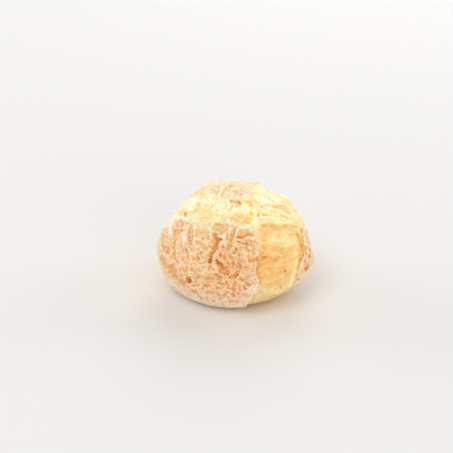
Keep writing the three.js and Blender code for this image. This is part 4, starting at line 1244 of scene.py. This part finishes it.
def kinds_of_dough(surface):
    """The shares of band, strands and crumb, which add up to 1."""
    bearing, elevation = bearing_and_elevation(surface.s)
    wander = 2.5 * ripple(surface.place, 6.0, 40)
    fallen = np.clip(bearing - CREASE_START, 0, 70) / CREASE_RUN
    crease = CREASE_ELEVATION - CREASE_FALL * fallen**2
    above = ramp(elevation + 0.4 * wander, crease - 3, crease + 3)
    valley = VALLEY_BEARING + 0.8 * np.clip(elevation - VALLEY_TURNS_ABOVE, 0, 60)
    right_side = ramp(bearing + wander, valley - 4, valley + 4) * (1 - ramp(bearing + wander, *STRANDS_END))
    strands = above * right_side
    crumb = (1 - right_side) * ramp(elevation + wander, *CRUMB_FOOT)
    return 1 - strands - crumb, strands, crumb


BAND_BAKE, STRANDS_BAKE, CRUMB_BAKE = 0.57, 0.34, 0.04
# Browner dough and painted shade: the band darkens along each plate's edge.
BAND_EDGE_BROWNING_AND_SHADE = 0.10  # added to the band beside a plate
MOST_MOTTLE, MOST_DOUGH_BAKE = 0.15, 0.92
CLING, SINK = 0.5, 1.1  # how far dough clings to a lifted edge, and sinks under a plate


def work_dough(s):
    surface = Surface(s, DOUGH_HEIGHT)
    bearing, elevation = bearing_and_elevation(s)
    along = np.radians(bearing) * BALL_RADIUS * 0.85
    level = np.radians(elevation) * BALL_RADIUS
    depths = crust_depths(s)
    depth = depths.max(0)
    band, strands, crumb = kinds_of_dough(surface)
    surface.bake = BAND_BAKE * band + STRANDS_BAKE * strands + CRUMB_BAKE * crumb
    # Browner dough and painted shade beside the plates.
    surface.bake += BAND_EDGE_BROWNING_AND_SHADE * band * bell((depth + 0.4) / 0.9)
    tint(surface, DOUGH_TINTS)
    ragged, tuft = torn_tufts(surface)
    for share, (height, bake) in (
        (band, stretched_band(surface, along, level)),
        (strands, torn_strands(surface, along, level)),
        (crumb, crumbly_dough(surface, ragged, tuft)),
    ):
        surface.height += share * height
        surface.bake += share * np.minimum(bake, MOST_MOTTLE)
    # Painted shade: the crevices between the torn tufts are darker and rosier.
    painted_shade_between_tufts = crumb * ragged * (1 - tuft)
    surface.bake += 0.20 * painted_shade_between_tufts
    brown(surface, BROWNED)
    surface.bake = np.minimum(surface.bake, MOST_DOUGH_BAKE)
    surface.blush += 0.10 * crumb + 0.25 * rough(surface.place, 5.0, 39, octaves=2) + 0.25 * painted_shade_between_tufts
    surface.blush *= 1 - 0.9 * band
    give_hue(surface, BLUSHES)
    for strokes in (SHOULDER_HOLLOWS, STRAND_HOLLOWS, BAND_HOLLOWS):
        press_hollows(surface, strokes, DOUGH_COLLARS)
    press_hollows(surface, FAR_CRACKS, DOUGH_COLLARS, far=True)
    raise_ridges(surface, STRAND_RIDGES)
    raise_ridges(surface, FAR_STRANDS, far=True)
    fine_grain(surface, 0.03, 0.05)
    lips = np.array([plate.lip for plate in plates])[:, None]
    clinging = ramp(ripple(surface.place, 5.0, 66), -0.5, 0.3) * (lips * bell((depths + 0.5) / 0.9)).max(0)
    surface.lift = surface.height + CLING * clinging - SINK * ramp(depth, 1.0, 2.2)
    return surface


def build_dough(subdivisions):
    bm = dough_mesh(subdivisions)
    return write_surface("dough", bm, work_dough(unit(np.array([v.co for v in bm.verts]))))


# ---- Loose bits ----
# [bearing, elevation, length, width, turn, rise of the tip]: degrees and mm, turn 0 towards greater bearings
LOOSE_THREADS = [
    (152, 60, 1.5, 0.85, 150, 0.9), (149, 57, 1.9, 0.75, 225, 0.9), (146, 58, 1.3, 0.85, 60, 0.9),
    (145, 56, 2.2, 0.75, 236, 0.7), (141, 54, 2.6, 0.80, 228, 0.6), (138, 51, 1.3, 0.85, 120, 0.8),
    (136, 51, 2.2, 0.75, 232, 0.7), (130, 49, 1.2, 0.85, 200, 0.6), (124, 47, 1.8, 1.00, 228, 0.35),
]
FLAKES = 60  # on the crumb, and half as many along the torn edges
FLAKE_THICKNESS = 0.42
FLAKE_LENGTH, FLAKE_LONGER = 0.6, 0.6
FLAKE_WIDTHS = (0.5, 1.0)
FLAKE_RISES = (0.1, 0.3)  # of the tip, for each mm of length
FLAKE_CURLS = (-0.4, 0.4)
ROOT_DEPTH = 0.1


def on_crumb(bearing, elevation, depth):
    return (elevation > 30) & (depth < -0.2) & ((bearing < 18) | (bearing > 120))


def on_torn_edge(bearing, elevation, depth):
    return (elevation > -35) & (np.abs(depth) < 0.3)


def loose_spots(rolls, count, wanted):
    """Points of the unit ball where wanted(bearing, elevation, depth in the crust) holds."""
    s = unit(rolls.normal(size=(60 * count, 3)))
    return s[wanted(*bearing_and_elevation(s), crust_depths(s).max(0))][:count]


def repeated(one, count):
    """The same small shape many times over, and the points of each: (count, points of one, 3)."""
    mesh = mesh_of("one", one)
    bm = bmesh.new()
    for _ in range(count):
        bm.from_mesh(mesh)
    bpy.data.meshes.remove(mesh)
    return bm, np.array([v.co for v in bm.verts]).reshape(count, -1, 3)


def build_flakes():
    """Thin torn shreds: each is rooted in the skin and its tip stands off it."""
    rolls = np.random.default_rng(SEED + 3)
    bearings, elevations, lengths, widths, turns, tip_rises = np.array(LOOSE_THREADS).T
    own = slice(0, len(LOOSE_THREADS))
    s = np.vstack([
        on_unit_ball(bearings, elevations),
        loose_spots(rolls, FLAKES, on_crumb),
        loose_spots(rolls, FLAKES // 2, on_torn_edge),
    ])
    length = FLAKE_LENGTH + FLAKE_LONGER * rolls.random(len(s)) ** 2
    width = rolls.uniform(*FLAKE_WIDTHS, len(s))
    turn = rolls.uniform(0, 2 * math.pi, len(s))
    rise = rolls.uniform(*FLAKE_RISES, len(s))
    curl = rolls.uniform(*FLAKE_CURLS, len(s)) * length
    length[own], width[own], turn[own], rise[own] = lengths, widths, np.radians(turns), tip_rises / lengths
    one = bmesh.new()
    bmesh.ops.create_grid(one, x_segments=4, y_segments=1, size=0.5)
    bmesh.ops.solidify(one, geom=one.faces[:], thickness=1.0)
    bm, flake = repeated(one, len(s))
    out = upright(s)
    east = unit(np.cross([0.0, 0.0, 1.0], out))
    ahead = np.cos(turn)[:, None] * east + np.sin(turn)[:, None] * np.cross(out, east)
    aside = np.cross(out, ahead)
    along, across, through = flake[:, :, 0] + 0.5, flake[:, :, 1], flake[:, :, 2]
    taper = 1 - 0.3 * along
    off = (rise * length)[:, None] * along**1.6 + FLAKE_THICKNESS * taper * through
    under = work_dough(s)
    crust_there = CRUST_HEIGHT * ramp(crust_depths(s).max(0), -0.2, 0.2)
    root = skin_point(s, np.maximum(under.lift, crust_there) - ROOT_DEPTH)
    p = (
        root[:, None]
        + (length[:, None] * along)[:, :, None] * ahead[:, None]
        + (width[:, None] * taper * across + curl[:, None] * along**2)[:, :, None] * aside[:, None]
        + off[:, :, None] * out[:, None]
    ).reshape(-1, 3)
    bake, blush = (np.repeat(values, flake.shape[1]) for values in (under.bake, under.blush))
    return write_piece("torn_flakes", bm, p, bake, blush)


# ---- Materials ----
MOST_BAKE = 1.2
GOLDEN_TONES = [
    (0.00, (255, 251, 226)), (0.12, (254, 245, 202)), (0.25, (250, 232, 175)), (0.38, (248, 219, 150)),
    (0.50, (245, 206, 138)), (0.62, (243, 193, 118)), (0.74, (239, 180, 100)), (0.86, (232, 156, 74)),
    (0.98, (214, 112, 42)), (1.08, (172, 84, 38)), (1.20, (118, 72, 48)),
]
ROSY_TONES = [
    (0.00, (255, 246, 226)), (0.12, (252, 232, 207)), (0.25, (249, 219, 187)), (0.38, (245, 206, 168)),
    (0.50, (240, 192, 150)), (0.62, (233, 177, 130)), (0.74, (224, 161, 107)), (0.86, (216, 138, 76)),
    (0.98, (210, 102, 44)), (1.08, (172, 82, 42)), (1.20, (112, 76, 62)),
]
MIX_A, MIX_B, MIX_RESULT = 6, 7, 2  # a Mix node's colour sockets


def linear(red, green, blue):
    """A colour that is given as 0 to 255 values on a screen."""
    parts = [c / 255 for c in (red, green, blue)]
    return tuple(c / 12.92 if c <= 0.04045 else ((c + 0.055) / 1.055) ** 2.4 for c in parts) + (1.0,)


def set_sockets(tree, node, sockets):
    """Each socket holds a number or takes another node's output."""
    for socket, value in sockets.items():
        if isinstance(value, bpy.types.NodeSocket):
            tree.links.new(value, node.inputs[socket])
        else:
            node.inputs[socket].default_value = value


def add_node(tree, kind, sockets, **settings):
    made = tree.nodes.new(kind)
    for name, value in settings.items():
        setattr(made, name, value)
    set_sockets(tree, made, sockets)
    return made


def add_math(tree, operation, a, b, c=0.0):
    return add_node(tree, "ShaderNodeMath", {0: a, 1: b, 2: c}, operation=operation).outputs[0]


def add_tones(tree, bake, tones):
    node = add_node(tree, "ShaderNodeValToRGB", {0: add_math(tree, "DIVIDE", bake, MOST_BAKE)})
    stops = node.color_ramp.elements
    while len(stops) < len(tones):
        stops.new(0.5)
    for stop, (tone_bake, colour) in zip(stops, tones):
        stop.position = tone_bake / MOST_BAKE
        stop.color = linear(*colour)
    return node.outputs["Color"]


def add_specks(tree, place, size, detail, roughness):
    """Noise with specks of this size in mm."""
    sockets = {"Vector": place, "Scale": 1 / (size * MM), "Detail": detail, "Roughness": roughness}
    return add_node(tree, "ShaderNodeTexNoise", sockets).outputs["Fac"]


def add_hairlines(tree, place, size, width):
    """1 on fine cracks that lie this far apart in mm, and 0 between them."""
    scaled = {"Vector": place, "Scale": 1 / (size * MM)}
    away = add_node(tree, "ShaderNodeTexVoronoi", scaled, feature="DISTANCE_TO_EDGE").outputs["Distance"]
    fading = {"Value": away, "From Max": width, "To Min": 1.0, "To Max": 0.0}
    return add_node(tree, "ShaderNodeMapRange", fading).outputs[0]


def baked_material(name, roughness, speckle, crackle, grain, sheen):
    """Colour follows each point's bake and blush with fine speckle; the finest grain is bump."""
    material = bpy.data.materials.new(name)
    material.use_nodes = True
    tree = material.node_tree
    place = tree.nodes.new("ShaderNodeTexCoord").outputs["Object"]
    bake = add_node(tree, "ShaderNodeAttribute", {}, attribute_name="bake").outputs["Fac"]
    blush = add_node(tree, "ShaderNodeAttribute", {}, attribute_name="blush").outputs["Fac"]
    crack = add_hairlines(tree, place, size=0.8, width=0.10)
    speck = add_specks(tree, place, size=0.9, detail=4.0, roughness=0.75)
    tone = add_math(tree, "MULTIPLY_ADD", speck, speckle, add_math(tree, "SUBTRACT", bake, speckle / 2))
    tone = add_math(tree, "MULTIPLY_ADD", crack, -crackle, tone)
    tones = {0: blush, MIX_A: add_tones(tree, tone, GOLDEN_TONES), MIX_B: add_tones(tree, tone, ROSY_TONES)}
    colour = add_node(tree, "ShaderNodeMix", tones, data_type="RGBA", clamp_factor=False)
    grains = add_specks(tree, place, size=0.35, detail=6.0, roughness=0.65)
    relief = add_math(tree, "MULTIPLY_ADD", crack, 0.25, grains)
    bump = add_node(tree, "ShaderNodeBump", {"Strength": 0.6, "Distance": grain * MM, "Height": relief})
    set_sockets(tree, tree.nodes["Principled BSDF"], {
        "Base Color": colour.outputs[MIX_RESULT],
        "Normal": bump.outputs["Normal"],
        "Roughness": roughness,
        "Specular IOR Level": 0.3,
        "Subsurface Weight": 0.15,
        "Subsurface Radius": (1.0, 0.75, 0.55),
        "Subsurface Scale": 0.6 * MM,
        "Sheen Weight": sheen,
        "Sheen Roughness": 0.45,
    })
    return material


# ---- Make the bread ----
plates = [
    Plate("front_crust", FRONT_OUTLINE, FRONT_HOLLOWS, FRONT_RIDGES),
    Plate("cap_crust", CAP_OUTLINE, CAP_HOLLOWS, CAP_RIDGES, pale=0.34, lip=0.2, rosy=0.3),
    Plate("right_crust", RIGHT_OUTLINE, SLIVER_HOLLOWS, SLIVER_RIDGES, lip=0.4, rosy=0.65),
    Plate("back_crust", BACK_OUTLINE, {}, {}),
]


def middle_over_foot(samples=20000):
    """The ball's middle, for an origin at the middle of the whole ball's foot."""
    s = unit(np.random.default_rng(SEED).normal(size=(samples, 3)))
    p = skin_point(s, CRUST_HEIGHT * ramp(crust_depths(s).max(0), -0.9, 0.9))
    x, y, _ = -(p.min(0) + p.max(0)) / 2
    return np.array([x, y, FOOT_DROP])


ball_middle = middle_over_foot()
FRONT_STEP, STEP = ((0.173, 0.2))  # of the plates' grids
dough = build_dough(subdivisions=6)
crusts = [build_plate(plate, FRONT_STEP if plate.name == "front_crust" else STEP) for plate in plates]
flakes = build_flakes()

crust_material = baked_material(
    "cracked_crust", roughness=0.62, speckle=0.60, crackle=0.16, grain=0.14, sheen=0.30
)
dough_material = baked_material(
    "stretched_dough", roughness=0.55, speckle=0.42, crackle=0.05, grain=0.10, sheen=0.20
)
for piece in crusts:
    piece.data.materials.append(crust_material)
for piece in (dough, flakes):
    piece.data.materials.append(dough_material)
for piece in (dough, *crusts, flakes):
    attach(piece, "root")
    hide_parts("cheese_bread_ball")


# ---- Floor, light and camera, in metres and watts ----
FLOOR_HALF_WIDTH = 2.0
FLOOR_COLOUR = (0.80, 0.795, 0.78, 1)
SKY_COLOUR, SKY_STRENGTH = (1.0, 0.99, 0.97, 1), 0.56
LIT_SPOT = (0, 0, 0.02)  # every lamp points at it
# name: (place, width, power)
LAMPS = {
    "key": ((-0.25, -0.40, 0.70), 0.5, 1.8),
    "fill": ((0.30, -0.75, 0.16), 0.6, 2.0),
    "back": ((0.10, 0.60, 0.45), 0.6, 1.7),
    "left": ((-0.68, 0.28, 0.12), 0.5, 2.1),
    "right": ((0.66, 0.20, 0.28), 0.5, 1.1),
}


def aim(thing, direction):
    thing.rotation_euler = Vector(direction).to_track_quat("-Z", "Y").to_euler()


def plain_floor():
    bm = bmesh.new()
    bmesh.ops.create_grid(bm, x_segments=1, y_segments=1, size=FLOOR_HALF_WIDTH)
    floor = put_in_scene("floor", mesh_of("floor", bm))
    material = bpy.data.materials.new("pale_floor")
    material.use_nodes = True
    shader = material.node_tree.nodes["Principled BSDF"]
    set_sockets(material.node_tree, shader, {"Base Color": FLOOR_COLOUR, "Roughness": 0.9})
    floor.data.materials.append(material)


def soft_light(name, place, width, power):
    light = bpy.data.lights.new(name, "AREA")
    light.shape = "DISK"
    light.size = width
    light.energy = power
    lamp = put_in_scene(name, light)
    lamp.location = place
    aim(lamp, Vector(LIT_SPOT) - Vector(place))


def studio():
    world = bpy.data.worlds.new("studio")
    bpy.context.scene.world = world
    world.use_nodes = True
    sky = world.node_tree.nodes["Background"]
    set_sockets(world.node_tree, sky, {"Color": SKY_COLOUR, "Strength": SKY_STRENGTH})
    for name, settings in LAMPS.items():
        soft_light(name, *settings)
    bpy.context.scene.view_settings.view_transform = "Standard"


PICTURE_WIDTH = 161.6  # mm across the picture at the ball's middle
BALL_RIGHT_OF_AIM = 2.7  # the ball's middle from the picture's middle, mm
BALL_BELOW_AIM = 5.5
SENSOR = 36.0


def set_camera():
    camera = bpy.data.cameras.new("camera")
    camera.sensor_width = SENSOR
    camera.lens = SENSOR * EYE_DISTANCE / PICTURE_WIDTH
    camera.clip_start, camera.clip_end = 0.01, 10
    eye = put_in_scene("camera", camera)
    target = ball_middle - BALL_RIGHT_OF_AIM * EYE_RIGHT + BALL_BELOW_AIM * EYE_UP
    eye.location = Vector((target + EYE_SIDE * EYE_DISTANCE) * MM)
    aim(eye, -EYE_SIDE)
    bpy.context.scene.camera = eye


plain_floor()
studio()
set_camera()
